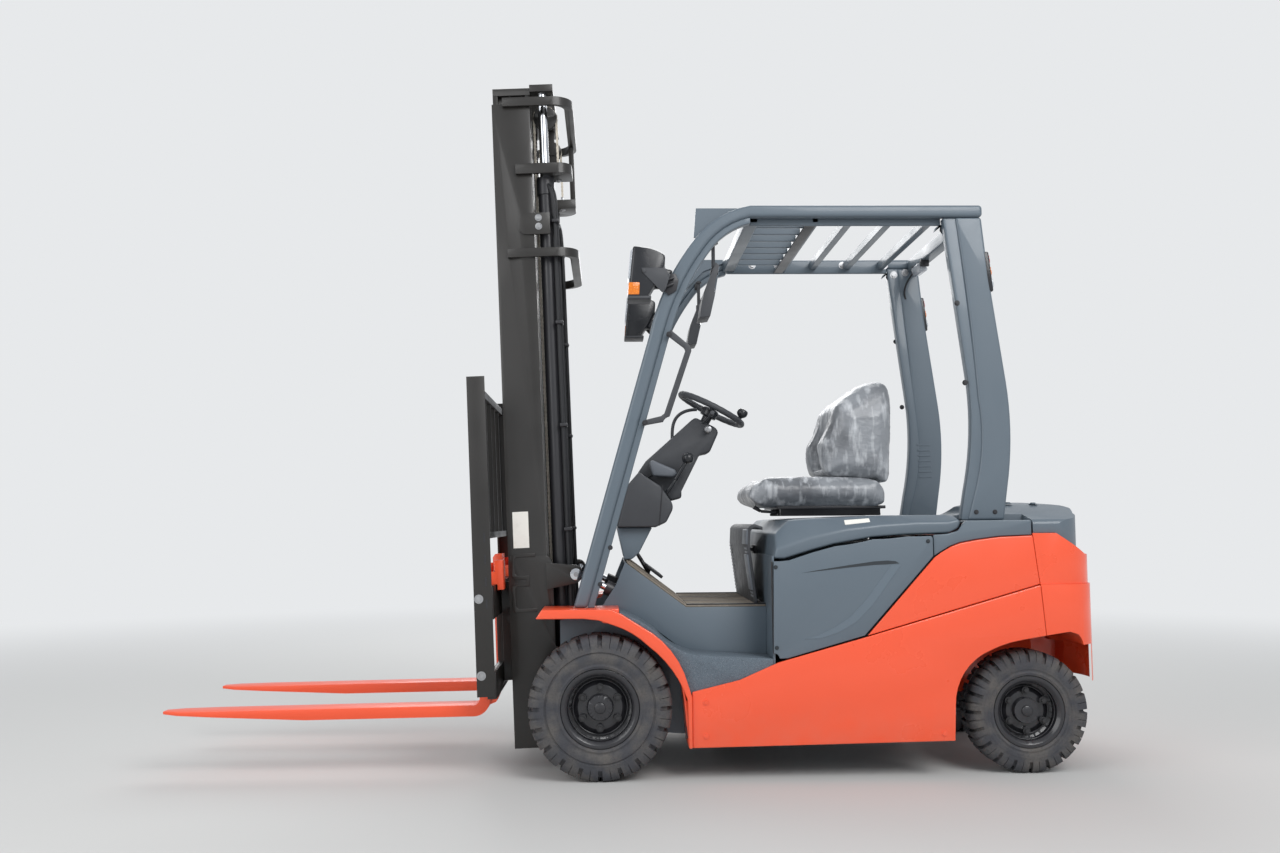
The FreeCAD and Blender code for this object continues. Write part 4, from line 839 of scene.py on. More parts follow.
class FORKLIFT_OT_dash(bpy.types.Operator):
    """Makes the dash: a padded top with painted shade along a crease, and a foot that narrows to the floor"""

    bl_idname = "forklift.dash"
    bl_label = "Dash"

    def execute(self, context):
        top = (
            (-66, 906), (-111, 1074), (-152, 1121), (-235, 1067), (-276, 1008), (-279, 966, 40), (-258, 925),
            (-216, 906),
        )
        foot = ((-94, 782), (-66, 905.5), (-204, 905.5), (-152, 806), (-124, 782))
        body_piece("dash_pad", slab(top, -270, 270), "plastic", 0.008, stands_for=("dash",))
        body_piece("dash_foot", slab(foot, -230, 230), "slate", 0.005)
        # Black strips along the crease on each side of the dash: painted shade in the crease.
        work = bmesh.new()
        for sign in (1, -1):
            low, high = sorted((269.6 * sign, 272 * sign))
            prism(work, [(-232, 912), (-246, 1068), (-243, 1070), (-228, 912)], low, high)
        piece("dash_creases", work, "black", "truck", "trim", width=0.0006, segments=1)
        return {"FINISHED"}


class FORKLIFT_OT_tyres(bpy.types.Operator):
    """Makes the four solid tyres with their notched shoulders"""

    bl_idname = "forklift.tyres"
    bl_label = "Tyres"

    def execute(self, context):
        for end, rim in (("front", 141), ("rear", 130)):
            for side in ("left", "right"):
                node = end + "_tyre_" + side
                low, high = (Vector(v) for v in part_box(node))
                size = (high - low) * 1000
                mesh = tyre_mesh(node + "_rubber", size.z / 2 - 0.05, rim, size.y / 2, (low + high) / 2)
                made = add_mesh(node + "_rubber", mesh, "tyre", frame["nodes"][node]["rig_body"])
                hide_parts(node)
        return {"FINISHED"}


def surface_of(node):
    """A node's faces, ready to be met by rays."""
    source = frame["nodes"][node]
    points = [source.matrix_world @ v.co for v in source.data.vertices]
    return BVHTree.FromPolygons(points, [tuple(p.vertices) for p in source.data.polygons])


def met(surface, start, way):
    """The first place where a ray from a start along a way meets a surface."""
    place = surface.ray_cast(Vector(start), Vector(way))[0]
    if place is None:
        raise RuntimeError("A piece's seat wasn't found")
    return place


class FORKLIFT_OT_rims(bpy.types.Operator):
    """Rounds the rims and adds their dish rings, valve and hub seal"""

    bl_idname = "forklift.rims"
    bl_label = "Rims"

    def execute(self, context):
        for end, radius in (("front", 141), ("rear", 130)):
            for side, sign in (("left", 1), ("right", -1)):
                node = end + "_rim_" + side
                rounded(node, "rim", 0.0012, 1)
                body = frame["nodes"][node]["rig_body"]
                low, high = (Vector(v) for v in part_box(node))
                centre = (low + high) / 2
                face = high.y if sign > 0 else low.y
                x = (centre.x - AXLE_X) * 1000
                z = centre.z * 1000
                work = bmesh.new()
                for reach, ring, thick in ((-20, radius - 20, 4.0), (-28, radius - 27, 2.6), (-56, radius - 42, 3.0)):
                    y = (face * 1000) + sign * reach
                    profile = [
                        (math.cos(a) * thick, ring + math.sin(a) * thick)
                        for a in (math.radians(d) for d in range(0, 360, 45))
                    ]
                    profile.append(profile[0])
                    lathe(work, profile, (x, y, z), "Y", 48)
                rod(work, (x + radius - 36, face * 1000 - sign * 60, z), (x + radius - 30, face * 1000 - sign * 34, z), 4, 12, 3)
                lathe(work, ((0, 20), (3, 20), (5, 17), (6, 0.5)) if sign > 0 else ((0, 20), (-3, 20), (-5, 17), (-6, 0.5)),
                      (x, face * 1000 - sign * 25, z), "Y", 32)
                piece(node + "_rings", work, "rim", body, "rim", width=0.0006, segments=1)
                spots = []
                surface = surface_of(node)
                for k in range(6):
                    angle = math.radians(60 * k + 30)
                    dx, dz = 74 * math.cos(angle), 74 * math.sin(angle)
                    y = met(surface, at(x + dx, sign * 900, z + dz), (0, -sign, 0)).y * 1000 + sign
                    spots.append((x + dx, y, z + dz, 0, sign, 0))
                bolts(node + "_bolts", spots, body, "iron", 0.009, 0.008)
        return {"FINISHED"}


# Mast: chains, hoses and fittings


def link_mesh(name, offsets, pin):
    """One leaf chain link: plates shaped like an eight, side by side on their pins."""
    work = bmesh.new()
    pitch = sizes().chain_pitch * 1000
    waist, head = 3.6, 4.9
    outline = []
    for end in (1, -1):
        for k in range(7):
            angle = math.radians(-35 + 250 * k / 6)
            outline.append((end * math.cos(angle) * head, end * (math.sin(angle) * head + pitch / 2)))
        outline.append((-end * waist, 0))
    for y in offsets:
        prism(work, outline, y - 1.0, y + 1.0)
    for z in (pitch / 2, -pitch / 2) if pin else ():
        rod(work, (0, -8, z), (0, 8, z), 2.6, 10)
    for v in work.verts:
        v.co /= 1000
    return mesh_from(work, name)


def chain_piece(name, points, body=None):
    """A leaf chain along points of the upright mast, on one body or left on none."""
    links = []
    for label, offsets, pin in (("wide", (-6.8, -2.3, 2.3, 6.8), True), ("narrow", (-4.5, 0.0, 4.5), False)):
        thing = bpy.data.objects.new(label, link_mesh(label, offsets, pin))
        bpy.context.scene.collection.objects.link(thing)
        links.append(thing)
    spots = [on_mast(*p) for p in points]
    mesh = bpy.data.meshes.new(name)
    mesh.from_pydata([tuple(p) for p in spots], [(k, k + 1) for k in range(len(spots) - 1)], [])
    made = tree("chain").run(name, mesh, "chain", Pitch=sizes().chain_pitch, Wide=links[0], Narrow=links[1])
    for thing in links:
        bpy.data.objects.remove(thing)
    if body:
        return add_mesh(name, made, "chain", body)
    made.materials.clear()
    made.materials.append(finish("chain"))
    thing = bpy.data.objects.new(name, made)
    bpy.context.scene.collection.objects.link(thing)
    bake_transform(thing)
    return thing


SHEAVE_X, SHEAVE_Z, SHEAVE_R = 125, 2548, 44.5
ANCHOR_Z = 602


class FORKLIFT_OT_chains(bpy.types.Operator):
    """Makes the lift chains, link by link, over the sheaves"""

    bl_idname = "forklift.chains"
    bl_label = "Lift chains"

    def execute(self, context):
        pieces = {"front": [], "tail": []}
        for side, sign in (("left", 1), ("right", -1)):
            y = 222 * sign
            front = SHEAVE_X + SHEAVE_R
            rear = SHEAVE_X - SHEAVE_R
            pieces["front"].append(
                chain_piece("chain_front_" + side, [(front, y, SHEAVE_Z), (front, y, ANCHOR_Z)])
            )
            pieces["tail"].append(
                chain_piece("chain_tail_" + side, [(rear, y, 2336), (rear, y, SHEAVE_Z)])
            )
            bend = [
                (SHEAVE_X + SHEAVE_R * math.cos(math.radians(a)), y, SHEAVE_Z + SHEAVE_R * math.sin(math.radians(a)))
                for a in range(0, 181, 12)
            ]
            chain_piece("chain_bend_" + side, bend, body="mast_inner")
            work = bmesh.new()
            block(work, (front - 6, y - 8, ANCHOR_Z - 30), (front + 6, y + 8, ANCHOR_Z - 1))
            rod(work, (front, y, ANCHOR_Z - 60), (front, y, ANCHOR_Z - 30), 6, 16)
            piece("chain_anchor_" + side, work, "steel", "carriage", "chain", on_mast, 0.002)
            work = bmesh.new()
            block(work, (rear - 7, y - 11, 2318), (rear + 7, y + 11, 2346))
            rod(work, (rear, y, 2286), (rear, y, 2322), 7, 16)
            lathe(work, ((0, 12), (8, 12), (9, 10)), (rear, y, 2288), "Z", 6)
            piece("chain_tail_anchor_" + side, work, "steel", "mast_outer", "chain", on_mast, 0.002)
        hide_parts("lift_chains")
        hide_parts("chain_tails")
        return {"FINISHED"}


def hose(name, points, radius, body, material="hose", place=on_mast):
    mesh = tube_mesh(name, [place(*p) for p in points], radius, 3, 4)
    return add_mesh(name, mesh, material, body)


class FORKLIFT_OT_hoses(bpy.types.Operator):
    """Runs the hydraulic hoses up the mast and their clamps"""

    bl_idname = "forklift.hoses"
    bl_label = "Hoses"

    def execute(self, context):
        radius = sizes().hose_radius
        for k, (y, x) in enumerate(((292, 92), (312, 100), (-292, 92), (-312, 100))):
            hose("mast_hose_%d" % k, [
                (x - 6, y * 0.8, 300), (x - 8, y, 380), (x, y, 560), (x, y, 1200), (x, y, 1800),
                (x, y, 2180), (x + 6, y, 2240), (x + 26, y * 0.94, 2262),
            ], radius, "mast_outer")
        for k, z in enumerate((520, 900, 1300, 1700, 2100)):
            work = bmesh.new()
            for sign in (1, -1):
                block(work, (82, sign * 302 - 26, z), (112, sign * 302 + 26, z + 14))
                rod(work, (80, sign * 302, z + 7), (86, sign * 302, z + 7), 5, 6)
            piece("hose_clamp_%d" % k, work, "black", "mast_outer", "black_steel", on_mast, 0.003)
        for sign, side in ((1, "left"), (-1, "right")):
            hose("foot_hose_" + side, [
                (132, sign * 240, 175), (110, sign * 200, 165), (60, sign * 190, 210), (30, sign * 200, 330),
            ], radius, "mast_outer")
        return {"FINISHED"}


class FORKLIFT_OT_mast_fittings(bpy.types.Operator):
    """Adds the mast's bolts, blank plates, raised foot mark and lock pins"""

    bl_idname = "forklift.mast_fittings"
    bl_label = "Mast fittings"

    def execute(self, context):
        spots = [(162, 340.5, 2116, 0, 1, 0), (162, 340.5, 2082, 0, 1, 0)]
        bolts("mast_bolts", both_sides(spots), "mast_outer", place=on_mast)
        bolts("backrest_bolts", both_sides([
            (424, 520.5, 392, 0, 1, 0), (424, 520.5, 668, 0, 1, 0),
        ]), "carriage", place=on_mast, radius=0.011)
        for sign, side in ((1, "left"), (-1, "right")):
            work = bmesh.new()
            face = 342.6 * sign
            outline = [
                (224, 600), (306, 600), (318, 612), (318, 700), (306, 712), (262, 712), (262, 724), (306, 724),
                (318, 736), (318, 812), (306, 822), (224, 822), (224, 808), (296, 808), (304, 800), (304, 746),
                (296, 738), (250, 738), (250, 698), (296, 698), (304, 690), (304, 622), (296, 614), (224, 614),
            ]
            prism(work, outline, min(face, face + sign * 2.4), max(face, face + sign * 2.4))
            piece("foot_mark_" + side, work, "mast", "mast_outer", "mast_paint", on_mast, 0.001)
            work = bmesh.new()
            block(work, (246, min(330.2 * sign, 331 * sign), 842), (306, max(330.2 * sign, 331 * sign), 980))
            piece("rail_plate_" + side, work, "label", "mast_outer", "mast_paint", on_mast, 0.0003, 1)
            work = bmesh.new()
            for z in (480, 640, 800):
                lathe(work, ((0, 8), (5 * sign, 8), (7 * sign, 5), (7 * sign, 1)), (60, 342 * sign, z - 300), "Y", 20)
            rod(work, (72, 318 * sign, 735), (72, 362 * sign, 735), 9, 20)
            piece("grease_points_" + side, work, "steel", "mast_outer", "chrome", on_mast, 0.001, 1)
            body = "fork_left" if sign > 0 else "fork_right"
            work = bmesh.new()
            y = 345 * sign
            lathe(work, ((0, 15), (16, 15), (20, 12), (22, 6)), (398, y, 716), "Z", 24)
            block(work, (386, y - 22, 730), (410, y + 22, 740))
            rod(work, (398, y - 20, 738), (398, y + 20, 738), 6, 14)
            piece("fork_lock_" + side, work, "steel", body, "chrome", on_mast, 0.002)
            # Black bars where the carriage's side slots are: painted shade inside the openings.
            row("side_slots_" + side, 4, (396, sign * 520.4, 650), (0, 0, 80), (5, 1.2, 34), "black", "carriage",
                turn=(0, 2.2, 0), place=on_mast, width=0.0, slot="mast_paint")
        return {"FINISHED"}


# Lamps, mirrors and guard


class FORKLIFT_OT_lamps(bpy.types.Operator):
    """Adds lenses, amber signals and brackets to the headlamps, and the rear lamps"""

    bl_idname = "forklift.lamps"
    bl_label = "Lamps"

    def execute(self, context):
        for sign, side in ((1, "left"), (-1, "right")):
            def span(a, b):
                return min(a * sign, b * sign), max(a * sign, b * sign)

            work = bmesh.new()
            low, high = span(431, 529)
            prism(work, [(-113.5, 1830), (-111.5, 1838), (-120.5, 1934), (-126, 1942), (-130, 1940), (-119, 1828)], low, high)
            piece("headlamp_lens_" + side, work, "lens", "truck", "lamp", width=0.002)
            work = bmesh.new()
            low, high = span(440, 539.5)
            prism(work, [(-110, 1768), (-112.5, 1812), (-118, 1814), (-152, 1814), (-154, 1811), (-152, 1768)], low, high)
            piece("amber_signal_" + side, work, "amber", "truck", "lamp", width=0.003)
            work = bmesh.new()
            low, high = span(421, 538.6)
            block(work, (-196, low, 1752), (-109, high, 1764))
            piece("headlamp_rim_" + side, work, "plastic", "truck", "lamp", width=0.003)
            work = bmesh.new()
            low, high = span(537.2, 541)
            prism(work, [(-160, 1868), (-166, 1850), (-236, 1776), (-244, 1776), (-262, 1845), (-248, 1868)], low, high)
            low, high = span(508, 541)
            prism(work, [(-244, 1790), (-262, 1845), (-268, 1845), (-250, 1786)], low, high)
            rod(work, (-170, 536 * sign, 1856), (-170, 544 * sign, 1856), 7, 18)
            piece("headlamp_bracket_" + side, work, "plastic", "truck", "lamp", width=0.0015)
            work = bmesh.new()
            prism(work, [(-262, 1850), (-246, 1788), (-262, 1770), (-292, 1788), (-300, 1826), (-288, 1852)], *span(503.4, 512))
            rod(work, (-236, 520 * sign, 1795), (-280, 520 * sign, 1812), 6, 12)
            rod(work, (-240, 520 * sign, 1822), (-282, 520 * sign, 1834), 5, 12)
            piece("headlamp_clamp_" + side, work, "black", "truck", "black_steel", width=0.0015)
            hose("headlamp_wire_" + side, [
                (-246, 490 * sign, 1800), (-262, 486 * sign, 1768), (-274, 470 * sign, 1742), (-268, 462 * sign, 1690),
            ], 0.0035, "truck", place=at)
            work = bmesh.new()
            low, high = span(292, 428)
            outline = [(-461.6, 1898), (-442, 1780), (-426, 1712), (-424.6, 1712), (-440.6, 1780), (-460.2, 1898)]
            prism(work, outline, low, high)
            piece("mirror_glass_" + side, work, "mirror", "truck", "trim", width=0.0003, segments=1)
            work = bmesh.new()
            rod(work, (-442, 379 * sign, 1868), (-442, 379 * sign, 1892), 12, 20)
            lathe(work, ((0, 14), (6, 14), (8, 10)), (-442, 379 * sign, 1990), "Z", 20)
            block(work, (-454, *[span(448, 456)[0]], 1976), (-430, span(448, 456)[1], 2004))
            piece("mirror_joint_" + side, work, "black", "truck", "trim", width=0.0015)
            for name, z, finish_name in (("stop", 1905, "red"), ("turn", 1860, "amber"), ("reverse", 1815, "lens")):
                work = bmesh.new()
                x = -1462 - (1905 - z) * 0.13
                block(work, (x - 18, span(452, 488)[0], z - 19), (x - 4, span(452, 488)[1], z + 19))
                lathe(work, ((0, 15), (-3, 14), (-5, 9), (-5.5, 2)), (x - 18, 470 * sign, z), "X", 24)
                piece("rear_%s_lamp_%s" % (name, side), work, finish_name, "truck", "lamp", width=0.004)
            work = bmesh.new()
            prism(work, [(-1453, 1938), (-1476, 1938), (-1492, 1786), (-1470, 1786)], *span(446, 494))
            piece("rear_lamp_box_" + side, work, "gloss_plastic", "truck", "lamp", width=0.006, segments=3)
        work = bmesh.new()
        made = block(work, (-1428, -330, 2010), (-1392, -214, 2052))
        turned(work, made, 18, "Y", (-1410, -270, 2040))
        piece("work_lamp", work, "lens", "truck", "lamp", width=0.006, segments=3)
        work = bmesh.new()
        block(work, (-1436, -352, 2030), (-1398, -338, 2060))
        block(work, (-1436, -206, 2030), (-1398, -192, 2060))
        rod(work, (-1414, -352, 2040), (-1414, -192, 2040), 5, 12)
        piece("work_lamp_stirrup", work, "black", "truck", "black_steel", width=0.002)
        return {"FINISHED"}


class FORKLIFT_OT_guard_fittings(bpy.types.Operator):
    """Adds the guard's bolts, corner plates, pillar ribs and wiring"""

    bl_idname = "forklift.guard_fittings"
    bl_label = "Guard fittings"

    def execute(self, context):
        inner = [(x, 438.8, 2086, 0, -1, 0) for x in (-692, -808, -1104)]
        inner += [(-1296, 438.8, 2084, 0, -1, 0), (-1340, 440.8, 2042, 0, -1, 0), (-1392, 440.8, 2052, 0, -1, 0)]
        bolts("roof_bolts", both_sides(inner), "truck", radius=0.011)
        feet = [(-40, 494.4, 834, 0, 1, 0), (-2, 494.4, 700, 0, 1, 0)]
        feet += [(-1400, 495.4, 955, 0, 1, 0), (-1470, 495.4, 955, 0, 1, 0)]
        bolts("pillar_bolts", both_sides(feet), "truck", "black", 0.006, 0.004)
        bolts("pillar_pins", both_sides([(-1374, 487.4, 1440, 0, 1, 0), (-1352, 487.4, 1742, 0, 1, 0)]), "truck",
              "black", 0.007, 0.005)
        bolts("handle_bolts", [(-262, 515.4, 1622, 0, 1, 0), (-170, 515.4, 1292, 0, 1, 0)], "truck", "black", 0.007,
              0.004)
        for sign, side in ((1, "left"), (-1, "right")):
            row("pillar_ribs_" + side, 7, (-1462, 440.5 * sign, 1120), (1, 0, 24), (58, 3, 8), "slate", "truck",
                slot="slate")
            work = bmesh.new()
            low, high = sorted((452 * sign, 441.4 * sign))
            prism(work, [(-1312, 2068), (-1306, 2030), (-1330, 1994), (-1352, 2000), (-1380, 2068)], low - 2, low)
            piece("corner_plate_" + side, work, "black", "truck", "black_steel", width=0.001)
            work = bmesh.new()
            arc = [(-1308 - 26 * math.cos(math.radians(a)) + 26, 2048 - 26 + 26 * math.sin(math.radians(a)))
                   for a in range(90, 181, 15)]
            prism(work, [(-1282, 2050)] + [(x - 26, z) for x, z in arc] + [(-1312, 2050)], *sorted((441 * sign, 453 * sign)))
            piece("inner_corner_" + side, work, "slate", "truck", "slate", width=0.001)
        work = bmesh.new()
        block(work, (-830, -446, 2050), (-790, 446, 2057))
        piece("roof_seal", work, "black", "truck", "black_steel", width=0.002)
        hose("lamp_wire", [(-1412, -340, 2040), (-1400, -400, 2020), (-1372, -436, 1980), (-1392, -440, 1930)], 0.004,
             "truck", place=at)
        return {"FINISHED"}


# Driver's place


def on_wheel(x, y, z):
    """A point in the steering wheel's own plane."""
    turn = Matrix.Rotation(math.radians(-27.3), 3, "Y") @ Vector((x, y, z))
    return at(-460 + turn.x, turn.y, 1388 + turn.z)


class FORKLIFT_OT_steering(bpy.types.Operator):
    """Makes the steering wheel: grip, spokes, horn pad and spinner knob"""

    bl_idname = "forklift.steering"
    bl_label = "Steering wheel"

    def execute(self, context):
        work = bmesh.new()
        steps, sides = 96, 18
        rings = []
        for k in range(steps):
            angle = 2 * math.pi * k / steps
            grip = 12.6 + 0.35 * math.cos(angle * 24)
            ring = []
            for j in range(sides):
                turn = 2 * math.pi * j / sides
                reach = 139 + grip * math.cos(turn) * 0.97
                ring.append(work.verts.new((reach * math.cos(angle), reach * math.sin(angle), grip * math.sin(turn))))
            rings.append(ring)
        for k in range(steps):
            for j in range(sides):
                n, m = (k + 1) % steps, (j + 1) % sides
                work.faces.new((rings[k][j], rings[n][j], rings[n][m], rings[k][m]))
        grip = piece("steering_grip", work, "plastic", "steering_wheel", "trim", on_wheel)
        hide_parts("steering_wheel")
        work = bmesh.new()
        for angle in (0, 90, -90):
            made = prism(work, [(20, -16), (60, -11), (130, -13), (134, 13), (60, 11), (20, 16)], -11, -4, "Z")
            turned(work, made, angle, "Z", (0, 0, 0))
        piece("steering_spokes", work, "plastic", "steering_wheel", "trim", on_wheel, 0.003, 3)
        work = bmesh.new()
        lathe(work, ((-64, 19), (-36, 20), (-34, 34), (-12, 36), (-4, 36), (0, 33), (3, 24), (4.5, 4)), (0, 0, 0), "Z", 48)
        piece("steering_hub", work, "gloss_plastic", "steering_wheel", "trim", on_wheel, 0.002)
        work = bmesh.new()
        lathe(work, ((4, 7), (14, 7), (18, 9), (24, 17), (32, 22), (44, 22), (51, 18), (54, 9), (54.5, 2)),
              (-118, 60, 0), "Z", 36)
        piece("spinner_knob", work, "gloss_plastic", "steering_wheel", "trim", on_wheel, 0.001)
        return {"FINISHED"}


class FORKLIFT_OT_controls(bpy.types.Operator):
    """Adds levers, the key switch, the display, pedal ribs and the column's tube"""

    bl_idname = "forklift.controls"
    bl_label = "Controls"

    def execute(self, context):
        work = bmesh.new()
        rod(work, (-262, 150, 1036), (-300, 150, 1092), 8, 14)
        rod(work, (-300, 150, 1092), (-346, 150, 1168), 9, 14, 8)
        lathe(work, ((-22, 8), (-16, 20), (-4, 24), (8, 23), (18, 15), (22, 4)), (-352, 150, 1180), "Z", 32)
        piece("parking_lever", work, "gloss_plastic", "truck", "trim", width=0.002)
        work = bmesh.new()
        prism(work, [(-212, 1110), (-198, 1160), (-206, 1176), (-300, 1136), (-312, 1118), (-296, 1104)], 84, 132)
        piece("lever_shroud", work, "grey_plastic", "truck", "trim", width=0.010, segments=3)
        for k, y in enumerate((-112, -148, -184, -220)):
            work = bmesh.new()
            rod(work, (-212, y, 1076), (-258, y, 1176), 6, 14, 5)
            lathe(work, ((-24, 6), (-18, 12), (-2, 15), (12, 14), (20, 9), (22, 2)), (-264, y, 1190), "Z", 26)
            piece("lift_lever_%d" % k, work, "gloss_plastic", "truck", "trim", width=0.0012)
            work = bmesh.new()
            lathe(work, ((0, 17), (6, 17), (12, 12), (20, 8)), (-212, y, 1074), "Z", 24)
            piece("lever_boot_%d" % k, work, "hose", "truck", "trim", width=0.001)
        work = bmesh.new()
        lathe(work, ((0, 16), (5, 16), (7, 13), (9, 12), (10, 4)), (-440, 70, 1300), "Y", 28)
        block(work, (-443, 78, 1291), (-437, 96, 1309))
        lathe(work, ((0, 12), (4, 12), (5, 9)), (-441, 94, 1300), "Y", 20)
        piece("key_switch", work, "steel", "truck", "chrome", width=0.001)
        work = bmesh.new()
        rod(work, (-420, 66, 1326), (-446, 132, 1352), 5, 12, 4)
        rod(work, (-446, 132, 1352), (-450, 176, 1360), 7, 14, 9)
        rod(work, (-424, -66, 1326), (-440, -128, 1346), 5, 12, 4)
        rod(work, (-440, -128, 1346), (-443, -160, 1352), 7, 14, 9)
        piece("column_stalks", work, "plastic", "truck", "trim", width=0.0015)
        hose("column_tube", [
            (-404, -40, 1392), (-372, -42, 1392), (-330, -44, 1378), (-304, -46, 1340), (-299, -46, 1292),
            (-300, -44, 1240), (-290, -40, 1180),
        ], 0.007, "truck", "plastic", at)
        work = bmesh.new()
        made = block(work, (-62, -78, 0), (62, 78, 9))
        turned(work, made, 33, "Y", (0, 0, 0))
        bmesh.ops.translate(work, verts=work.verts, vec=Vector((-196, 0, 1104)))
        piece("display_case", work, "gloss_plastic", "truck", "trim", width=0.004, segments=3)
        row("pedal_ribs_right", 6, (-232, -190, 718), (7.4, 0, 5.6), (3, 50, 3), "hose", "truck", slot="black_steel")
        row("pedal_ribs_left", 6, (-232, -30, 718), (7.4, 0, 5.6), (3, 62, 3), "hose", "truck", slot="black_steel")
        for k, y in enumerate((-30, -190)):
            work = bmesh.new()
            rod(work, (-196, y, 722), (-168, y, 770), 8, 16)
            rod(work, (-168, y, 770), (-150, y, 800), 8, 16, 7)
            piece("pedal_arm_%d" % k, work, "black", "truck", "black_steel", width=0.001)
        return {"FINISHED"}


class FORKLIFT_OT_floor_mat(bpy.types.Operator):
    """Lays the floor mat's ribs and edge strips"""

    bl_idname = "forklift.floor_mat"
    bl_label = "Floor mat"

    def execute(self, context):
        pitch = sizes().mat_pitch * 1000
        count = int(676 / pitch)
        start = -pitch * (count - 1) / 2
        row("mat_ribs", count, (-476, start, 613.6), (0, pitch, 0), (292, 5, 2.4), "mat", "truck", slot="mat")
        slope = math.degrees(math.atan2(168, 222))
        row("toe_ribs", count, (-216, start, 697.5), (0, pitch, 0), (262, 5, 2.4), "mat", "truck",
            turn=(0, -slope, 0), slot="mat")
        work = bmesh.new()
        for sign in (1, -1):
            low, high = sorted((sign * 344, sign * 358))
            block(work, (-627, low, 612), (-327, high, 618))
        block(work, (-627, -344, 612), (-617, 344, 617))
        piece("mat_edges", work, "hose", "truck", "mat", width=0.002)
        row("mat_seams", 2, (-476, -118, 614.6), (0, 236, 0), (296, 9, 1.4), "hose", "truck", slot="mat")
        return {"FINISHED"}


# Seat


def swollen(mesh, inset, cap, voxel=0.006):
    """A form as filled foam: remeshed, blown out a little by cloth pressure, and capped."""
    work = bmesh.new()
    work.from_mesh(mesh)
    work.normal_update()
    for v in work.verts:
        v.co -= v.normal * inset
    work.to_mesh(mesh)
    work.free()
    thing = bpy.data.objects.new("foam", mesh)
    bpy.context.scene.collection.objects.link(thing)
    remesh = thing.modifiers.new("Even", "REMESH")
    remesh.mode = "VOXEL"
    remesh.voxel_size = voxel
    mesh = settled(thing)
    rest = np.empty(len(mesh.vertices) * 3)
    mesh.vertices.foreach_get("co", rest)
    rest = rest.reshape(-1, 3)
    thing = bpy.data.objects.new("foam", mesh)
    bpy.context.scene.collection.objects.link(thing)
    cloth = thing.modifiers.new("Foam", "CLOTH")
    cloth.settings.use_pressure = True
    cloth.settings.uniform_pressure_force = 4
    cloth.settings.effector_weights.gravity = 0
    cloth.settings.quality = 5
    cloth.settings.mass = 0.3
    for number in range(1, 13):
        bpy.context.scene.frame_set(number)
    graph = bpy.context.evaluated_depsgraph_get()
    blown = bpy.data.meshes.new_from_object(thing.evaluated_get(graph), depsgraph=graph)
    now = np.empty(len(blown.vertices) * 3)
    blown.vertices.foreach_get("co", now)
    move = now.reshape(-1, 3) - rest
    move -= move.mean(axis=0)
    reach = np.linalg.norm(move, axis=1, keepdims=True)
    move *= np.minimum(1.0, cap / np.maximum(reach, 1e-9))
    mesh.vertices.foreach_set("co", (rest + move).ravel())
    thing.modifiers.clear()
    bpy.data.meshes.remove(blown)
    bpy.context.scene.frame_set(1)
    smooth = thing.modifiers.new("Smooth", "CORRECTIVE_SMOOTH")
    smooth.iterations = 10
    smooth.use_only_smooth = True
    return settled(thing)


def folded(mesh, depth, seed):
    """Presses the folds of a loose cover into a mesh, along the way that the cover hangs."""
    count = len(mesh.vertices)
    co = np.empty(count * 3)
    normal = np.empty(count * 3)
    mesh.vertices.foreach_get("co", co)
    mesh.vertex_normals.foreach_get("vector", normal)
    co, normal = co.reshape(-1, 3), normal.reshape(-1, 3)
    fold = np.zeros(count)
    draw = np.random.default_rng(seed)
    for k in range(16):
        way = draw.normal(size=3)
        way[2] *= 0.6
        way /= np.linalg.norm(way)
        pitch = draw.uniform(38, 120)
        bend = np.sin(co @ draw.normal(size=3) * 9 + draw.uniform(0, 6)) * 1.4
        fold += (1 - np.abs(np.sin(co @ way * pitch + bend))) ** 5 * draw.uniform(0.4, 1.0)
    co += normal * (fold / fold.max() * depth)[:, None]
    mesh.vertices.foreach_set("co", co.ravel())
    mesh.update()
    return mesh


def cushion_form():
    side = (
        (-590, 1000), (-572, 1020, -24), (-590, 1074, -60), (-640, 1104, -60), (-885, 1106), (-1100, 1092),
        (-1130, 1040), (-1130, 986.5), (-620, 986.5),
    )
    across = (
        (-226, 980), (-240, 1010, -40), (-240, 1070), (-200, 1106, -40), (-150, 1086, 120), (150, 1086),
        (200, 1106, 120), (240, 1070, -40), (240, 1010), (226, 980, -40),
    )
    return shared(slab(side, -240, 240), slab(across, -1200, -500, "X"))


def backrest_form():
    side = (
        (-888, 1109), (-876, 1225, -500), (-940, 1395, -300), (-1060, 1478, -260), (-1120, 1497, -120),
        (-1160, 1460, 40), (-1150, 1230), (-1140, 1060), (-1134, 1060), (-1100, 1093), (-900, 1108),
    )
    across = (
        (-226, 1040), (-232, 1300), (-206, 1430, -300), (-130, 1500, -110), (130, 1500), (206, 1430, -110),
        (232, 1300, -300), (226, 1040),
    )
    hollow = ((-800, -120), (-800, 120), (-930, 96), (-950, 0, 400), (-930, -96, 400))
    return without(
        shared(slab(side, -240, 240), slab(across, -1200, -800, "X")), slab(hollow, 1130, 1520, "Z")
    )


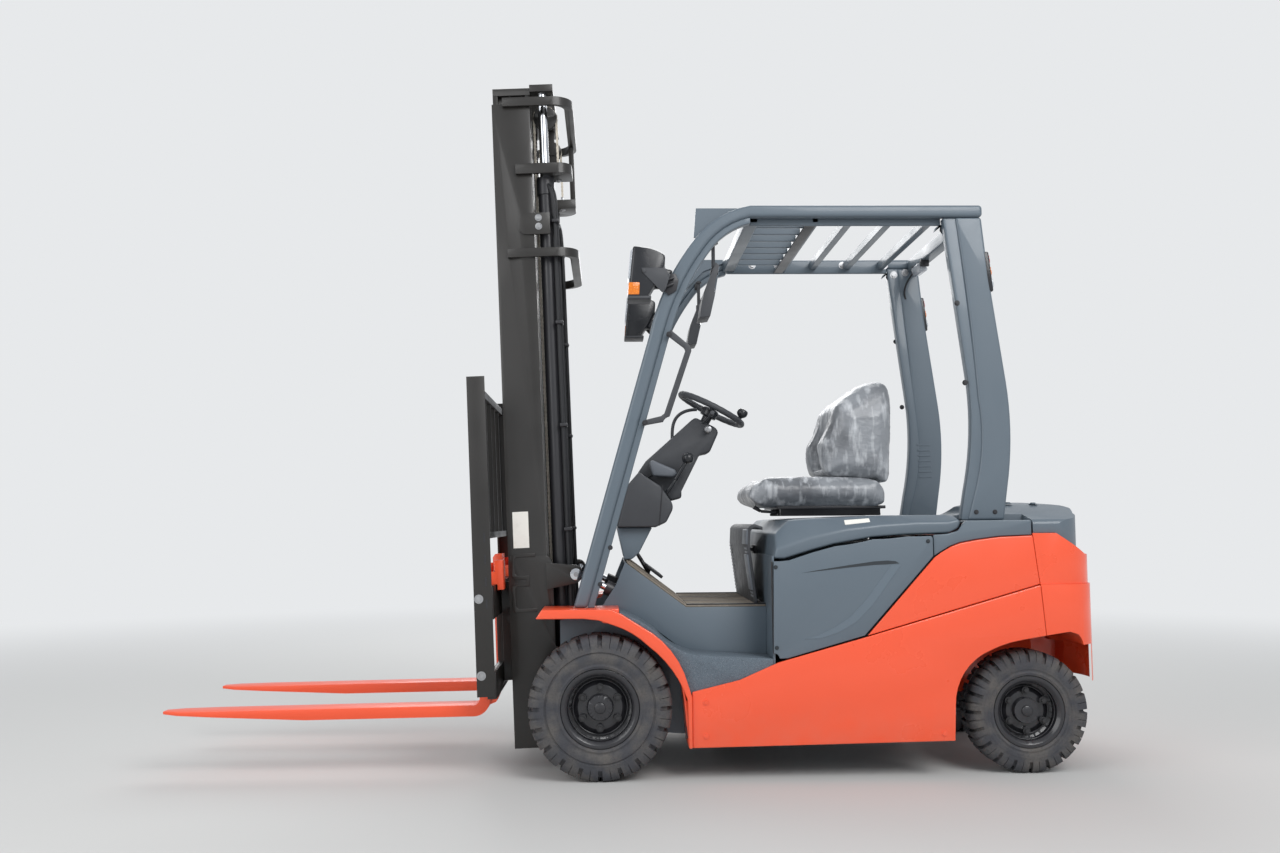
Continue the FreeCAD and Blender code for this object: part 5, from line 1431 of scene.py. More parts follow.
class FORKLIFT_OT_seat(bpy.types.Operator):
    """Makes the seat's foam cushions under their clear, creased cover"""

    bl_idname = "forklift.seat"
    bl_label = "Seat"

    def execute(self, context):
        cap = sizes().cushion_cap
        forms = (("seat_cushion", cushion_form(), 0.75, 3), ("seat_back", backrest_form(), 0.7, 8))
        for node, form, fill, seed in forms:
            mesh = folded(swollen(form, 0.009, cap), sizes().film_gap, seed)
            made = add_mesh(node + "_pad", mesh, "seat", "hood", smooth=False)
            made.data.polygons.foreach_set("use_smooth", [True] * len(made.data.polygons))
            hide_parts(node)
        work = bmesh.new()
        rod(work, (-700, 150, 962), (-640, 150, 966), 6, 14)
        rod(work, (-640, 150, 966), (-612, 150, 984), 6, 14, 9)
        block(work, (-1128, -118, 948), (-712, -104, 958))
        block(work, (-1128, 104, 948), (-712, 118, 958))
        piece("seat_slide", work, "black", "hood", "black_steel", width=0.0015)
        return {"FINISHED"}


# Bodywork forms


def bent(outline, step=9.0):
    """An outline with its arcs drawn out: (a, b, radius) is an arc from the point before."""
    points = []
    for k, spot in enumerate(outline):
        start, end = Vector(outline[k - 1][:2]), Vector(spot[:2])
        if len(spot) == 3:
            radius = abs(spot[2])
            way = end - start
            rise = math.sqrt(max(radius * radius - way.length_squared / 4, 0.0))
            left = Vector((-way.y, way.x)).normalized() * math.copysign(1, spot[2])
            centre = (start + end) / 2 + left * rise
            first = math.atan2(start.y - centre.y, start.x - centre.x)
            last = math.atan2(end.y - centre.y, end.x - centre.x)
            turn = (last - first) % (2 * math.pi)
            if spot[2] < 0:
                turn -= 2 * math.pi
            count = max(2, math.ceil(abs(math.degrees(turn)) / step), math.ceil(way.length / 45))
            for j in range(1, count):
                angle = first + turn * j / count
                points.append((centre.x + radius * math.cos(angle), centre.y + radius * math.sin(angle)))
        points.append(tuple(end))
    return points


def slab(outline, low, high, axis="Y"):
    """A solid between two levels, as a mesh in the frame."""
    work = bmesh.new()
    prism(work, bent(outline), low, high, axis)
    for v in work.verts:
        v.co = at(*v.co)
    return mesh_from(work, "slab")


def combined(first, second, operation):
    """Two closed meshes cut, joined or reduced to what they share."""
    things = []
    for mesh in (first, second):
        thing = bpy.data.objects.new("form", mesh)
        bpy.context.scene.collection.objects.link(thing)
        things.append(thing)
    step = things[0].modifiers.new("Combine", "BOOLEAN")
    step.operation = operation
    step.solver = "EXACT"
    step.object = things[1]
    mesh = settled(things[0])
    bpy.data.objects.remove(things[1])
    return mesh


def shared(*meshes):
    made = meshes[0]
    for mesh in meshes[1:]:
        made = combined(made, mesh, "INTERSECT")
    return made


def without(mesh, *tools):
    for tool in tools:
        mesh = combined(mesh, tool, "DIFFERENCE")
    return mesh


def pair_of(outline, inner, outer):
    """A plate on the left side and its twin on the right."""
    work = bmesh.new()
    points = bent(outline)
    prism(work, points, inner, outer)
    prism(work, points, -outer, -inner)
    for v in work.verts:
        v.co = at(*v.co)
    return mesh_from(work, "plates")


def body_piece(name, mesh, material, width, body="truck", segments=3, angle=30, stands_for=()):
    made = add_mesh(name, bevelled(mesh, width, segments, angle), material, body)
    if stands_for:
        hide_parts(*stands_for)
    return made


BODY_HALF = 566
SEAM = -1586
LOWER_PANEL = (
    (-331.5, 118), (-1280, 133), (-1285, 262), (-1414, 452, 207), (-1536, 490, 420), (-1623.5, 504),
    (-1607.5, 688), (-970, 507), (-645, 418), (-503, 357), (-331.5, 316),
)
UPPER_PANEL = (
    (-971, 510.3), (-1607.5, 691), (-1600.5, 743), (-1585.5, 868), (-1465, 863.5), (-1378, 852.5),
    (-1317, 841.5), (-1282, 828.5), (-1246, 807.5), (-1223, 791),
)
BATTERY_COVER = (
    (-633, 781), (-628.6, 450), (-650, 431, 20), (-680, 432), (-961, 511), (-1218, 795.5), (-1218, 862),
    (-1206, 868, -12), (-1122, 867), (-999, 858, 900), (-860, 834, 900), (-773, 811), (-690, 784), (-660, 781),
)
QUARTER_PANEL = (
    (-1222, 795), (-1246, 810), (-1282, 831), (-1317, 844), (-1378, 855), (-1465, 866), (-1585, 870),
    (-1585, 917), (-1578, 925, -8), (-1350, 925), (-1336, 917), (-1314, 887), (-1274, 876), (-1222, 873),
)


FENDER_LIP = (
    (231, 581), (209, 614), (-40, 614), (-78, 597), (-150, 551.7), (-318, 340.4, 328), (-331, 300),
    (-331, 118), (-318, 118), (-314, 290), (-175, 482, -400), (-50, 557, -320), (4, 575), (60, 581),
)
FENDER_LINER = (
    (231, 581), (209, 614), (-70, 614), (-70, 564), (-311, 285, 312), (-331, 280), (-331, 118), (-318, 118),
    (-303, 284.6), (-12, 563.8, -304), (4, 581),
)


class FORKLIFT_OT_fenders(bpy.types.Operator):
    """Makes the front fenders: a liner over each wheel and a lip along its edge"""

    bl_idname = "forklift.fenders"
    bl_label = "Fenders"

    def execute(self, context):
        work = bmesh.new()
        work.from_mesh(pair_of(FENDER_LINER, 365.3, 551.8))
        liner = mesh_from(work, "liner")
        body_piece("fender_liners", liner, "orange", 0.003, segments=2)
        body_piece(
            "fender_lips", pair_of(FENDER_LIP, 552, 575), "orange", 0.004, stands_for=("fenders",)
        )
        return {"FINISHED"}


GUARD_OUT, GUARD_IN, GUARD_TOP = 503, 455, 2116
REAR_POST = (
    (-1369, 925.3), (-1401, 1043), (-1420, 1380, -800), (-1352, 2070, -9000), (-1452, 2070), (-1474, 1844),
    (-1529, 1440), (-1523, 1050, 1360), (-1505, 925.3),
)
REAR_POST_BAND = (
    (-1345, 925.3), (-1364, 1035), (-1389, 1425, -1300), (-1307, 2070), (-1360, 2070), (-1430, 1380),
    (-1410, 1043, 800), (-1378, 925.3),
)


def pillar_band(near, far):
    """The front pillar's side outline between two depths behind its front edge."""
    drop = 46 / 52
    return (
        (97 - near, 614.3), (-190 - near, 1626), (-381 - near * 0.71, 2010 - near * 0.6, 900),
        (-574, GUARD_TOP - near * drop, 330 - near * 0.9), (-574, GUARD_TOP - far * drop),
        (-381 - far * 0.71, 2010 - far * 0.6, far * 0.9 - 330), (-190 - far, 1626, -900), (97 - far, 614.3),
    )


class FORKLIFT_OT_guard(bpy.types.Operator):
    """Makes the overhead guard: bent front tubes, curved rear posts and the roof"""

    bl_idname = "forklift.guard"
    bl_label = "Overhead guard"

    def execute(self, context):
        outline = pillar_band(0, 52)
        outline = outline[:4] + ((-1455, GUARD_TOP), (-1455, GUARD_TOP - 46)) + outline[4:]
        tubes = pair_of(outline, GUARD_IN, GUARD_OUT)
        body_piece(
            "front_tubes", tubes, "slate", 0.014, segments=5, angle=50, stands_for=("front_pillars",)
        )
        web = pair_of(pillar_band(51, 77), GUARD_IN, GUARD_OUT - 9)
        body_piece("front_webs", web, "slate", 0.004, angle=50)
        visor = pair_of(
            ((-362, 2004), (-371, 2114), (-559.5, 2114), (-559.5, 2096), (-470, 2060), (-398, 1985)),
            GUARD_IN - 10, GUARD_IN + 3
        )
        body_piece("visor_plates", visor, "slate", 0.001, segments=1)
        post = pair_of(REAR_POST, GUARD_IN - 14, GUARD_OUT - 8)
        body_piece("rear_posts", post, "slate", 0.010, segments=4, angle=50, stands_for=("rear_pillars",))
        band = pair_of(REAR_POST_BAND, GUARD_IN - 14, GUARD_OUT - 16)
        body_piece("rear_post_bands", band, "slate", 0.006, angle=50)
        work = bmesh.new()
        for sign in (1, -1):
            def across(a, b):
                return min(a * sign, b * sign), max(a * sign, b * sign)

            a, b = across(GUARD_IN - 16, GUARD_IN - 0.3)
            block(work, (-1306.7, a, 2048), (-574, b, GUARD_TOP - 8))
        for x in (-610, -842):
            block(work, (x, -GUARD_IN + 0.3, 2056), (x + (50 if x > -700 else 30), GUARD_IN - 0.3, GUARD_TOP - 12))
        block(work, (-1455, -GUARD_IN + 14.3, 2056), (-1405, GUARD_IN - 14.3, GUARD_TOP - 8))
        for v in work.verts:
            v.co = at(*v.co)
        rails = mesh_from(work, "rails")
        body_piece("roof_rails", rails, "slate", 0.005, stands_for=("roof_frame",))
        pitch = GUARD_IN * 2 / 8
        row("roof_slats", 7, (-697, -pitch * 3, 2083), (0, pitch, 0), (214, 12, 34), "slate", "truck", width=0.002,
            slot="slate")
        step = 155.75
        row("roof_bars", 3, (-812 - step, 0, 2084), (-step, 0, 0), (30, GUARD_IN * 2 - 1, 34), "slate", "truck",
            width=0.003, slot="slate")
        return {"FINISHED"}


class FORKLIFT_OT_side_panels(bpy.types.Operator):
    """Makes the lower, upper, battery and quarter panels"""

    bl_idname = "forklift.side_panels"
    bl_label = "Side panels"

    def execute(self, context):
        edge = sizes().edge
        body_piece(
            "lower_panels", pair_of(LOWER_PANEL, BODY_HALF - 14, BODY_HALF), "orange", edge,
            stands_for=("side_panels",)
        )
        body_piece("upper_panels", pair_of(UPPER_PANEL, BODY_HALF - 16, BODY_HALF - 5), "orange", edge)
        body_piece(
            "battery_panels", pair_of(BATTERY_COVER, BODY_HALF - 20, BODY_HALF - 8), "slate", edge,
            stands_for=("battery_covers",)
        )
        body_piece("quarter_panels", pair_of(QUARTER_PANEL, BODY_HALF - 28, BODY_HALF - 14), "slate", edge)
        deck = pair_of(((-1578, 911), (-1345, 911), (-1345, 924.5), (-1578, 924.5)), 436, BODY_HALF - 16)
        body_piece("quarter_decks", deck, "slate", edge)
        return {"FINISHED"}


CASTING_SIDE = (
    (-1294, 300), (-1294, 867), (SEAM, 876.5), (-1672, 876.5), (-1790, 800), (-1862, 770, 120), (-1880, 690, 90),
    (-1880, 380), (-1840, 335), (-1700, 335), (-1700, 250), (-1294, 250),
)


def casting_plan(inset):
    side, front, rear = BODY_HALF - inset, 536.5, -1880 + inset
    return (
        (-1294, -front), (-1560, -front), (-1560, -side), (-1690, -side), (rear + 50, -430, -130),
        (rear, -200, -700), (rear, 200), (rear + 50, 430, -700), (-1690, side, -130), (-1560, side),
        (-1560, front), (-1294, front),
    )


def round_tool(centre, low, high, radius):
    """An upright cylinder as a mesh in the frame."""
    x, y = centre
    ring = [(x + radius * math.cos(math.radians(a)), y + radius * math.sin(math.radians(a))) for a in range(0, 360, 5)]
    return slab(ring, low, high, "Z")


class FORKLIFT_OT_counterweight(bpy.types.Operator):
    """Makes the cast counterweight with its crease and wheel wells, and its cover"""

    bl_idname = "forklift.counterweight"
    bl_label = "Counterweight"

    def execute(self, context):
        low = shared(slab(CASTING_SIDE, -600, 600), slab(casting_plan(0), 200, 690, "Z"))
        high = shared(slab(CASTING_SIDE, -600, 600), slab(casting_plan(5), 690.2, 900, "Z"))
        well = (
            (-1234, 100), (-1234, 470), (-1434, 470), (-1626, 515), (-1720, 520), (-1768, 455, 60), (-1804, 455),
            (-1804, 100),
        )
        mouth = (
            (-1234, 100), (-1234, 470), (-1434, 470), (-1624, 506), (-1710, 519), (-1744, 508), (-1764, 440, 75),
            (-1766, 100),
        )
        seam = (
            (-1500, 440), (-1624.5, 440), (-1624.5, 504), (-1608.5, 692), (-1601.5, 743), (-1586.5, 870),
            (-1586.5, 900), (-1500, 900),
        )
        for sign in (1, -1):
            tools = [
                slab(well, *sorted((sign * 150, sign * 530))), slab(mouth, *sorted((sign * 529, sign * 620))),
                round_tool((-1572, sign * 380), 100, 470, 268),
                slab(seam, *sorted((sign * 536.5, sign * 600))),
            ]
            low = without(low, *tools)
            high = without(high, tools[-1])
        slot = slab(((-1900, 430), (-1785, 430), (-1785, 520), (-1900, 520)), -60, 60)
        low = without(low, slot)
        work = bmesh.new()
        work.from_mesh(low)
        work.from_mesh(high)
        body_piece(
            "casting", mesh_from(work, "casting"), "orange", 0.007, segments=3, angle=26,
            stands_for=("counterweight",)
        )
        half = 546
        side = (
            (-1345, 877.3), (-1345, 944), (-1510, 946), (-1532, 980, -40), (-1562, 997, 36), (-1700, 994),
            (-1790, 982), (-1828, 948, 40), (-1828, 792), (-1812, 798), (-1790, 801.5), (-1672, 877.3),
        )
        across = (
            (-half, 700), (-half, 906), (-half + 20, 928, -22), (-250, 984), (250, 984, -2600), (half - 20, 928),
            (half, 906, -22), (half, 700),
        )
        plan = (
            (-1340, -432), (SEAM - 6, -432), (SEAM - 6, -half - 3), (-1672, -half - 3), (-1790, -420, -130),
            (-1830, -200, -700), (-1830, 200), (-1790, 420, -700), (-1672, half + 3, -130), (SEAM - 6, half + 3),
            (SEAM - 6, 432), (-1340, 432),
        )
        cover = shared(slab(side, -600, 600), slab(across, -1860, -1300, "X"), slab(plan, 700, 1050, "Z"))
        body_piece(
            "casting_cover", cover, "slate", 0.009, segments=4, angle=26,
            stands_for=("counterweight_cover",)
        )
        return {"FINISHED"}


LIP_BOTTOM = ((-1330, 917), (-1319, 895), (-1287, 878), (-1122, 874), (-999, 865), (-860, 841), (-773, 818), (-677, 789))
DECK_TOP = (
    (-648, 880, 826), (-700, 930, 840), (-775, 936, 866), (-906, 940, 895), (-1037, 945, 911), (-1168, 946, 919),
    (-1282, 946, 920), (-1320, 942, 930),
)


class FORKLIFT_OT_hood(bpy.types.Operator):
    """Makes the hood: a deck whose sides slope out to a thick lip"""

    bl_idname = "forklift.hood"
    bl_label = "Hood"

    def execute(self, context):
        work = bmesh.new()
        rings = []
        for y, column in ((-536, 2), (-480, 1), (480, 1), (536, 2)):
            ring = [(-634, 789)] + [(row[0], row[column]) for row in DECK_TOP] + list(LIP_BOTTOM)
            rings.append([work.verts.new(at(x, y, z)) for x, z in ring])
        count = len(rings[0])
        for first, second in zip(rings, rings[1:]):
            for k in range(count):
                n = (k + 1) % count
                work.faces.new((first[k], second[k], second[n], first[n]))
        work.faces.new(rings[0])
        work.faces.new(list(reversed(rings[-1])))
        solid = mesh_from(work, "hood_solid")
        hollow = slab(
            ((-648, 700), (-658, 868), (-704, 921), (-775, 927), (-906, 931), (-1037, 936), (-1168, 937),
             (-1282, 937), (-1312, 930), (-1312, 700)), -470, 470
        )
        body_piece(
            "hood_shell", without(solid, hollow), "slate", 0.012, "hood", 4, 24, stands_for=("hood",)
        )
        trim = slab(
            ((-590, 614), (-562, 834), (-565, 895), (-598, 915, 30), (-624, 905), (-624, 893), (-602, 901),
             (-578, 888, -20), (-574, 836), (-602, 614)), -330, 330
        )
        body_piece("hood_front_trim", trim, "plastic", 0.003, "hood", 2)
        work = bmesh.new()
        prism(work, [(-585, 664), (-567.5, 800), (-559, 800), (-577, 664)], 244, 332)
        prism(work, [(-566, 838), (-557, 838), (-561, 893), (-590, 913), (-596, 913), (-568, 890)], 196, 330)
        piece("hood_front_pad", work, "grey_plastic", "hood", "trim", width=0.004, segments=3)
        return {"FINISHED"}


# Bodywork trim


def slope_point(x, y):
    """A point on the hood's sloping side, by its place along and across."""
    table = ((-648, 880, 826), (-700, 930, 840), (-775, 936, 866), (-906, 940, 895), (-1037, 945, 911),
             (-1168, 946, 919), (-1282, 946, 920), (-1320, 942, 930))
    for (x0, a0, b0), (x1, a1, b1) in zip(table, table[1:]):
        if x1 <= x <= x0:
            t = (x0 - x) / (x0 - x1)
            top, lip = a0 + (a1 - a0) * t, b0 + (b1 - b0) * t
            return top + (lip - top) * (abs(y) - 480) / 56
    return 940


class FORKLIFT_OT_body_trim(bpy.types.Operator):
    """Adds the battery covers' painted groove shade and highlight band, blank labels, latches, the painted shade of the
    hood vents, and seals
    """

    bl_idname = "forklift.body_trim"
    bl_label = "Body trim"

    def execute(self, context):
        for sign, side in ((1, "left"), (-1, "right")):
            def span(a, b):
                return min(a * sign, b * sign), max(a * sign, b * sign)

            # A dark sheet along the battery cover's groove: painted shade in the groove.
            work = bmesh.new()
            prism(work, [
                (-734, 738), (-800, 745), (-912, 757), (-1000, 765), (-1050, 767), (-1093, 770), (-1080, 778),
                (-1050, 781), (-1000, 778), (-912, 766), (-800, 749),
            ], *span(557.8, 558.6))
            piece("cover_groove_" + side, work, "dark_slate", "truck", "slate", width=0.0002, segments=1)
            # A lighter band across the battery cover: a painted highlight on the slate.
            work = bmesh.new()
            prism(work, [
                (-1062, 764), (-1010, 694), (-962, 632), (-905, 575), (-850, 540), (-790, 512), (-742, 500),
                (-800, 502), (-866, 523), (-927, 557), (-986, 614), (-1034, 676), (-1098, 764),
            ], *span(557.8, 559.4))
            piece("cover_band_" + side, work, "light_slate", "truck", "slate", width=0.0005, segments=1)
            work = bmesh.new()
            for x0, x1, y0, y1 in ((-905, -998, 498, 516),):
                corners = []
                for x, y in ((x0, y0), (x1, y0), (x1, y1), (x0, y1)):
                    corners.append((x, y * sign, slope_point(x, y) + 3.4))
                top = [work.verts.new(c) for c in corners]
                under = [work.verts.new((x, y, z - 3)) for x, y, z in corners]
                work.faces.new(top)
                work.faces.new(list(reversed(under)))
                for k in range(4):
                    n = (k + 1) % 4
                    work.faces.new((top[k], under[k], under[n], top[n]))
            piece("hood_labels_" + side, work, "label", "hood", "slate", width=0.0003, segments=1)
            # Black bars where the hood vent's slits are: painted shade inside the openings.
            row("hood_vent_" + side, 5, (-664, 400 * sign, 882), (-8, 0, 8.4), (3, 64, 3), "black", "hood",
                turn=(0, 44, 0), slot="black_steel")
            row("cover_ribs_" + side, 14, (-586.5, 286 * sign, 640), (1.78, 0, 14), (4, 78, 7), "grey_plastic",
                "truck", turn=(0, 7, 0), slot="trim")
            bolts("cover_bolts_" + side, [
                (-634 - 6, 559 * sign, z, 0, sign, 0) for z in (760, 470)
            ] + [(-1200, 559 * sign, 850, 0, sign, 0)], "truck", "dark_slate", 0.005, 0.003)
            work = bmesh.new()
            prism(work, [(-629, 780), (-631, 450), (-627, 450), (-625, 780)], *span(540, 556))
            piece("cover_seal_" + side, work, "hose", "truck", "trim", width=0.001)
            bolts("panel_bolts_" + side, [
                (-380, 566.3 * sign, 160, 0, sign, 0), (-380, 566.3 * sign, 280, 0, sign, 0),
                (-1240, 566.3 * sign, 160, 0, sign, 0),
            ], "truck", "orange", 0.008, 0.004)
            work = bmesh.new()
            low, high = span(538, 551)
            prism(work, [(-310, 150), (-318, 420), (-326, 420), (-326, 150)], low, high)
            piece("mud_flap_" + side, work, "hose", "truck", "trim", width=0.0015)
        work = bmesh.new()
        block(work, (-630.5, -70, 796), (-622, 70, 830))
        block(work, (-622, -44, 806), (-612, 44, 820))
        rod(work, (-614, -38, 813), (-614, 38, 813), 5, 14)
        piece("hood_latch", work, "black", "hood", "black_steel", width=0.002)
        bolts("casting_bolts", both_sides([
            (-1700, 250, 986, 0, 0, 1), (-1600, 250, 988, 0, 0, 1),
        ]), "truck", "slate", 0.011, 0.005)
        work = bmesh.new()
        lathe(work, ((0, 34), (6, 34), (7, 30), (7, 4)), (-1640, 0, 994), "Z", 40)
        lathe(work, ((0, 14), (16, 14), (20, 10), (21, 2)), (-1640, 0, 996), "Z", 24)
        piece("lifting_cap", work, "gloss_plastic", "truck", "trim", width=0.002)
        work = bmesh.new()
        rod(work, (-1850, -34, 804), (-1850, 34, 804), 8, 18)
        lathe(work, ((0, 22), (5, 22), (8, 18), (9, 8)), (-1850, 0, 788), "Z", 32)
        piece("tow_pin_head", work, "steel", "truck", "iron", width=0.0015)
        return {"FINISHED"}


class FORKLIFT_OT_undercarriage(bpy.types.Operator):
    """Adds the axle's bolts and the hoses under the floor"""

    bl_idname = "forklift.undercarriage"
    bl_label = "Undercarriage"

    def execute(self, context):
        spots = []
        for k in range(8):
            angle = math.radians(45 * k + 20)
            spots.append((78 * math.cos(angle), 441, 260 + 78 * math.sin(angle), 0, 1, 0))
        bolts("axle_bolts", both_sides(spots), "truck", "steel", 0.008)
        for k, y in enumerate((-60, -30, 40)):
            hose("floor_hose_%d" % k, [
                (-360, y, 560), (-300, y * 1.2, 520), (-200, y * 1.6, 430), (-90, y * 1.4, 400),
                (10, y * 1.5, 430),
            ], 0.009, "truck", place=at)
        return {"FINISHED"}


# Operators


class FORKLIFT_OT_stage(bpy.types.Operator):
    """Makes the floor, the lights and the camera"""

    bl_idname = "forklift.stage"
    bl_label = "Stage"

    def execute(self, context):
        scene = context.scene
        scene.view_settings.view_transform = "Standard"
        low, high = Vector(FRAME_BOX[0]), Vector(FRAME_BOX[1])
        work = bmesh.new()
        bmesh.ops.create_grid(work, x_segments=1, y_segments=1, size=40)
        floor = bpy.data.objects.new("floor", mesh_from(work, "floor"))
        scene.collection.objects.link(floor)
        material = bpy.data.materials.new("studio_floor")
        material.use_nodes = True
        nodes, links = material.node_tree.nodes, material.node_tree.links
        shader = nodes["Principled BSDF"]
        shader.inputs["Base Color"].default_value = (0.52, 0.52, 0.51, 1)
        shader.inputs["Roughness"].default_value = 0.85
        glow = nodes.new("ShaderNodeEmission")
        glow.inputs["Color"].default_value = (0.80, 0.815, 0.83, 1)
        place = nodes.new("ShaderNodeTexCoord")
        reach = nodes.new("ShaderNodeVectorMath")
        reach.operation = "LENGTH"
        links.new(place.outputs["Object"], reach.inputs[0])
        fade = nodes.new("ShaderNodeMapRange")
        fade.interpolation_type = "SMOOTHSTEP"
        links.new(reach.outputs["Value"], fade.inputs["Value"])
        fade.inputs["From Min"].default_value = 2.6
        fade.inputs["From Max"].default_value = 9.0
        blend = nodes.new("ShaderNodeMixShader")
        links.new(fade.outputs["Result"], blend.inputs[0])
        links.new(shader.outputs[0], blend.inputs[1])
        links.new(glow.outputs[0], blend.inputs[2])
        links.new(blend.outputs[0], nodes["Material Output"].inputs["Surface"])
        floor.data.materials.append(material)
        world = bpy.data.worlds.new("studio")
        world.use_nodes = True
        scene.world = world
        tree = world.node_tree
        sky = tree.nodes["Background"]
        sky.inputs["Color"].default_value = (0.93, 0.96, 1.0, 1)
        sky.inputs["Strength"].default_value = 0.62
        seen = tree.nodes.new("ShaderNodeBackground")
        seen.inputs["Color"].default_value = (0.80, 0.815, 0.83, 1)
        seen.inputs["Strength"].default_value = 1.0
        path = tree.nodes.new("ShaderNodeLightPath")
        mix = tree.nodes.new("ShaderNodeMixShader")
        tree.links.new(path.outputs["Is Camera Ray"], mix.inputs[0])
        tree.links.new(sky.outputs[0], mix.inputs[1])
        tree.links.new(seen.outputs[0], mix.inputs[2])
        tree.links.new(mix.outputs[0], tree.nodes["World Output"].inputs["Surface"])
        for name, place, size, power in (
            ("key", (-3.2, 5.5, 5.4), 4.0, 330),
            ("fill", (4.5, 4.0, 3.2), 4.5, 150),
            ("back", (0.0, -5.5, 5.0), 5.0, 260),
        ):
            lamp = bpy.data.lights.new(name, "AREA")
            lamp.shape = "SQUARE"
            lamp.size = size
            lamp.energy = power
            holder = bpy.data.objects.new(name, lamp)
            holder.location = place
            aim = Vector((0, 0, 0.9)) - Vector(place)
            holder.rotation_euler = aim.to_track_quat("-Z", "Y").to_euler()
            scene.collection.objects.link(holder)
        data = bpy.data.cameras.new("photo_camera")
        data.sensor_fit = "HORIZONTAL"
        data.sensor_width = 36
        data.lens = 1200 / 1280 * 36
        data.clip_end = 200
        camera = bpy.data.objects.new("photo_camera", data)
        scene.collection.objects.link(camera)
        yaw, pitch, roll = (math.radians(v) for v in (-1.5, 4.5, -0.405))
        ahead = Vector((math.sin(yaw) * math.cos(pitch), -math.cos(yaw) * math.cos(pitch), math.sin(pitch)))
        right = Vector((-math.cos(yaw), -math.sin(yaw), 0))
        up = right.cross(ahead)
        across = right * math.cos(roll) + up * math.sin(roll)
        top = up * math.cos(roll) - right * math.sin(roll)
        turn = Matrix((across, top, -ahead)).transposed().to_4x4()
        camera.matrix_world = Matrix.Translation(at(-36, 4932, 931)) @ turn
        scene.camera = camera
        return {"FINISHED"}


NODE_FINISHES = {
    "slate": (
        "battery chassis front_pillars hood rear_pillars roof_frame counterweight_cover battery_covers "
        "battery_tray"
    ),
    "tread": "steps",
    "orange": "fenders side_panels counterweight",
    "fork_orange": "fork_left fork_right",
    "mast": "backrest carriage outer_rails outer_beams inner_rails inner_beams",
    "chain": "chain_tails lift_chains",
    "plastic": "dash grab_handle mirrors steering_wheel steering_column",
    "gloss_plastic": "headlamps",
    "mat": "floor_mat",
    "iron": "front_axle rear_axle knuckle_left knuckle_right tow_pin",
    "rim": "front_rim_left front_rim_right rear_rim_left rear_rim_right",
    "tyre": "front_tyre_left front_tyre_right rear_tyre_left rear_tyre_right",
    "black": "lift_cylinders seat_frame tilt_cylinders pedals",
    "chrome": "lift_rods tilt_rods",
    "seat": "seat_back seat_cushion",
}


class FORKLIFT_OT_finishes(bpy.types.Operator):
    """Gives every node of the frame its finish"""

    bl_idname = "forklift.finishes"
    bl_label = "Finishes"

    def execute(self, context):
        given = {node: name for name, nodes in NODE_FINISHES.items() for node in nodes.split()}
        for node in frame["nodes"]:
            dress(node, given[node])
        return {"FINISHED"}


ROUNDED = (
    ("fork_left", "fork_orange", "orange", 0.003),
    ("fork_right", "fork_orange", "orange", 0.003),
    ("steering_column", "plastic", "trim", 0.010),
    ("headlamps", "gloss_plastic", "lamp", 0.010),
    ("mirrors", "plastic", "trim", 0.010),
    ("grab_handle", "plastic", "black_steel", 0.005),
    ("outer_rails", "mast", "mast_paint", 0.003),
    ("outer_beams", "mast", "mast_paint", 0.003),
    ("inner_rails", "mast", "mast_paint", 0.003),
    ("inner_beams", "mast", "mast_paint", 0.002),
    ("carriage", "mast", "mast_paint", 0.003),
    ("backrest", "mast", "mast_paint", 0.002),
    ("lift_cylinders", "black", "black_steel", 0.002),
    ("lift_rods", "chrome", "chrome", 0.001),
    ("tilt_cylinders", "black", "black_steel", 0.002),
    ("tilt_rods", "chrome", "chrome", 0.001),
    ("front_axle", "iron", "iron", 0.004),
    ("rear_axle", "iron", "iron", 0.004),
    ("knuckle_left", "iron", "iron", 0.003),
    ("knuckle_right", "iron", "iron", 0.003),
    ("tow_pin", "iron", "iron", 0.001),
    ("seat_frame", "black", "black_steel", 0.002),
    ("pedals", "black", "black_steel", 0.002),
    ("steps", "tread", "slate", 0.003),
    ("chassis", "slate", "slate", 0.003),
    ("floor_mat", "mat", "mat", 0.002),
)


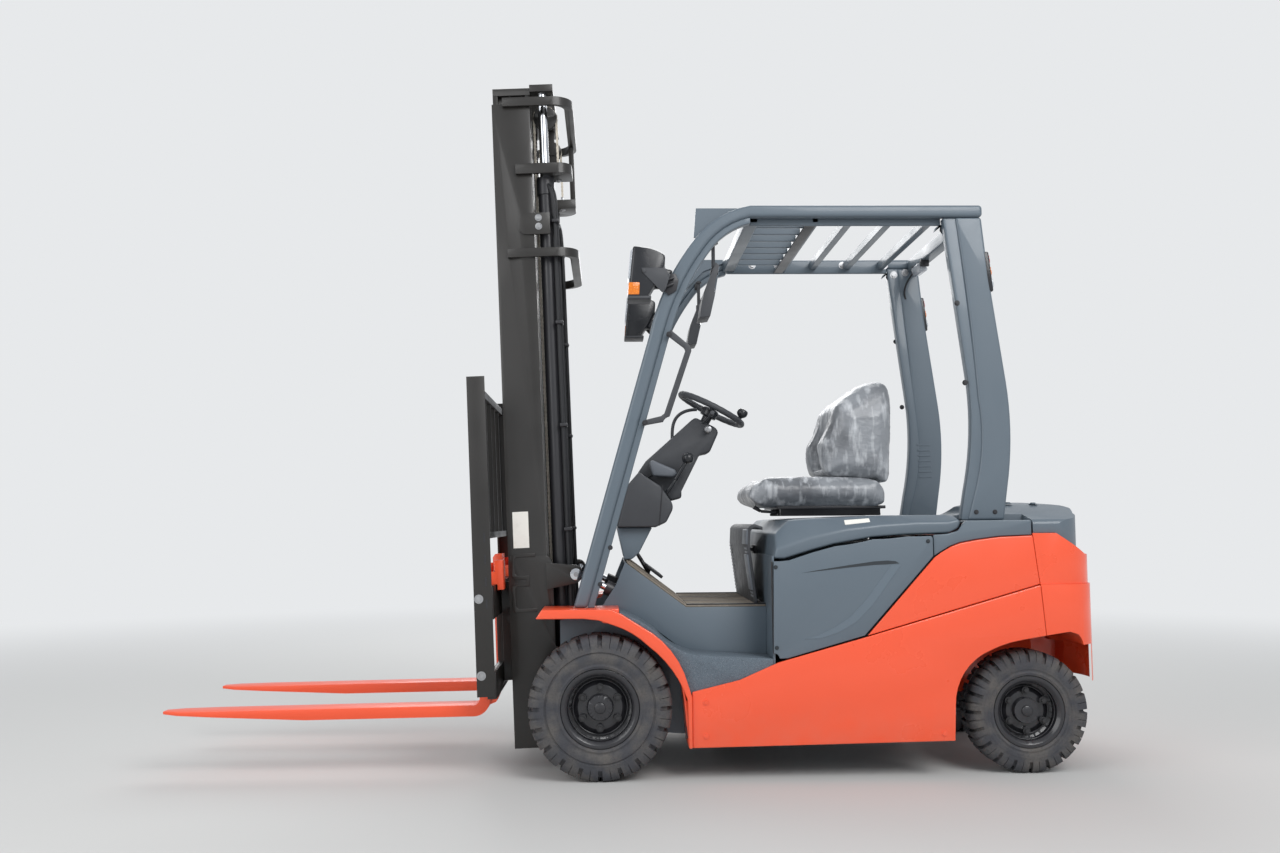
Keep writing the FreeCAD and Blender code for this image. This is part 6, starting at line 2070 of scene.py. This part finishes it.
class FORKLIFT_OT_shells(bpy.types.Operator):
    """Rounds the edges of the pressed, cast and moulded bodywork"""

    bl_idname = "forklift.shells"
    bl_label = "Bodywork"

    def execute(self, context):
        for node, material, slot, width in ROUNDED:
            rounded(node, material, width)
        return {"FINISHED"}


class FORKLIFT_PT_panel(bpy.types.Panel):
    bl_idname = "FORKLIFT_PT_panel"
    bl_label = "Forklift"
    bl_space_type = "VIEW_3D"
    bl_region_type = "UI"
    bl_category = "Forklift"

    def draw(self, context):
        for group in (context.scene.forklift_sizes, context.scene.forklift_colours):
            for name in group.__annotations__:
                self.layout.prop(group, name)
        for operator in OPERATORS:
            self.layout.operator(operator.bl_idname)


OPERATORS = (
    FORKLIFT_OT_stage,
    FORKLIFT_OT_finishes,
    FORKLIFT_OT_shells,
    FORKLIFT_OT_fenders,
    FORKLIFT_OT_guard,
    FORKLIFT_OT_side_panels,
    FORKLIFT_OT_counterweight,
    FORKLIFT_OT_hood,
    FORKLIFT_OT_dash,
    FORKLIFT_OT_tyres,
    FORKLIFT_OT_rims,
    FORKLIFT_OT_chains,
    FORKLIFT_OT_hoses,
    FORKLIFT_OT_mast_fittings,
    FORKLIFT_OT_lamps,
    FORKLIFT_OT_guard_fittings,
    FORKLIFT_OT_steering,
    FORKLIFT_OT_controls,
    FORKLIFT_OT_floor_mat,
    FORKLIFT_OT_seat,
    FORKLIFT_OT_body_trim,
    FORKLIFT_OT_undercarriage,
)
CLASSES = (ForkliftSizes, ForkliftColours, *OPERATORS, FORKLIFT_PT_panel)


def register():
    for item in CLASSES:
        bpy.utils.register_class(item)
    bpy.types.Scene.forklift_sizes = PointerProperty(type=ForkliftSizes)
    bpy.types.Scene.forklift_colours = PointerProperty(type=ForkliftColours)


def unregister():
    del bpy.types.Scene.forklift_colours
    del bpy.types.Scene.forklift_sizes
    for item in reversed(CLASSES):
        bpy.utils.unregister_class(item)


def main():
    register()
    for operator in OPERATORS:
        group, name = operator.bl_idname.split(".")
        if "FINISHED" not in getattr(getattr(bpy.ops, group), name)():
            raise RuntimeError(operator.bl_label + " wasn't finished")


if __name__ == "__main__":
    main()
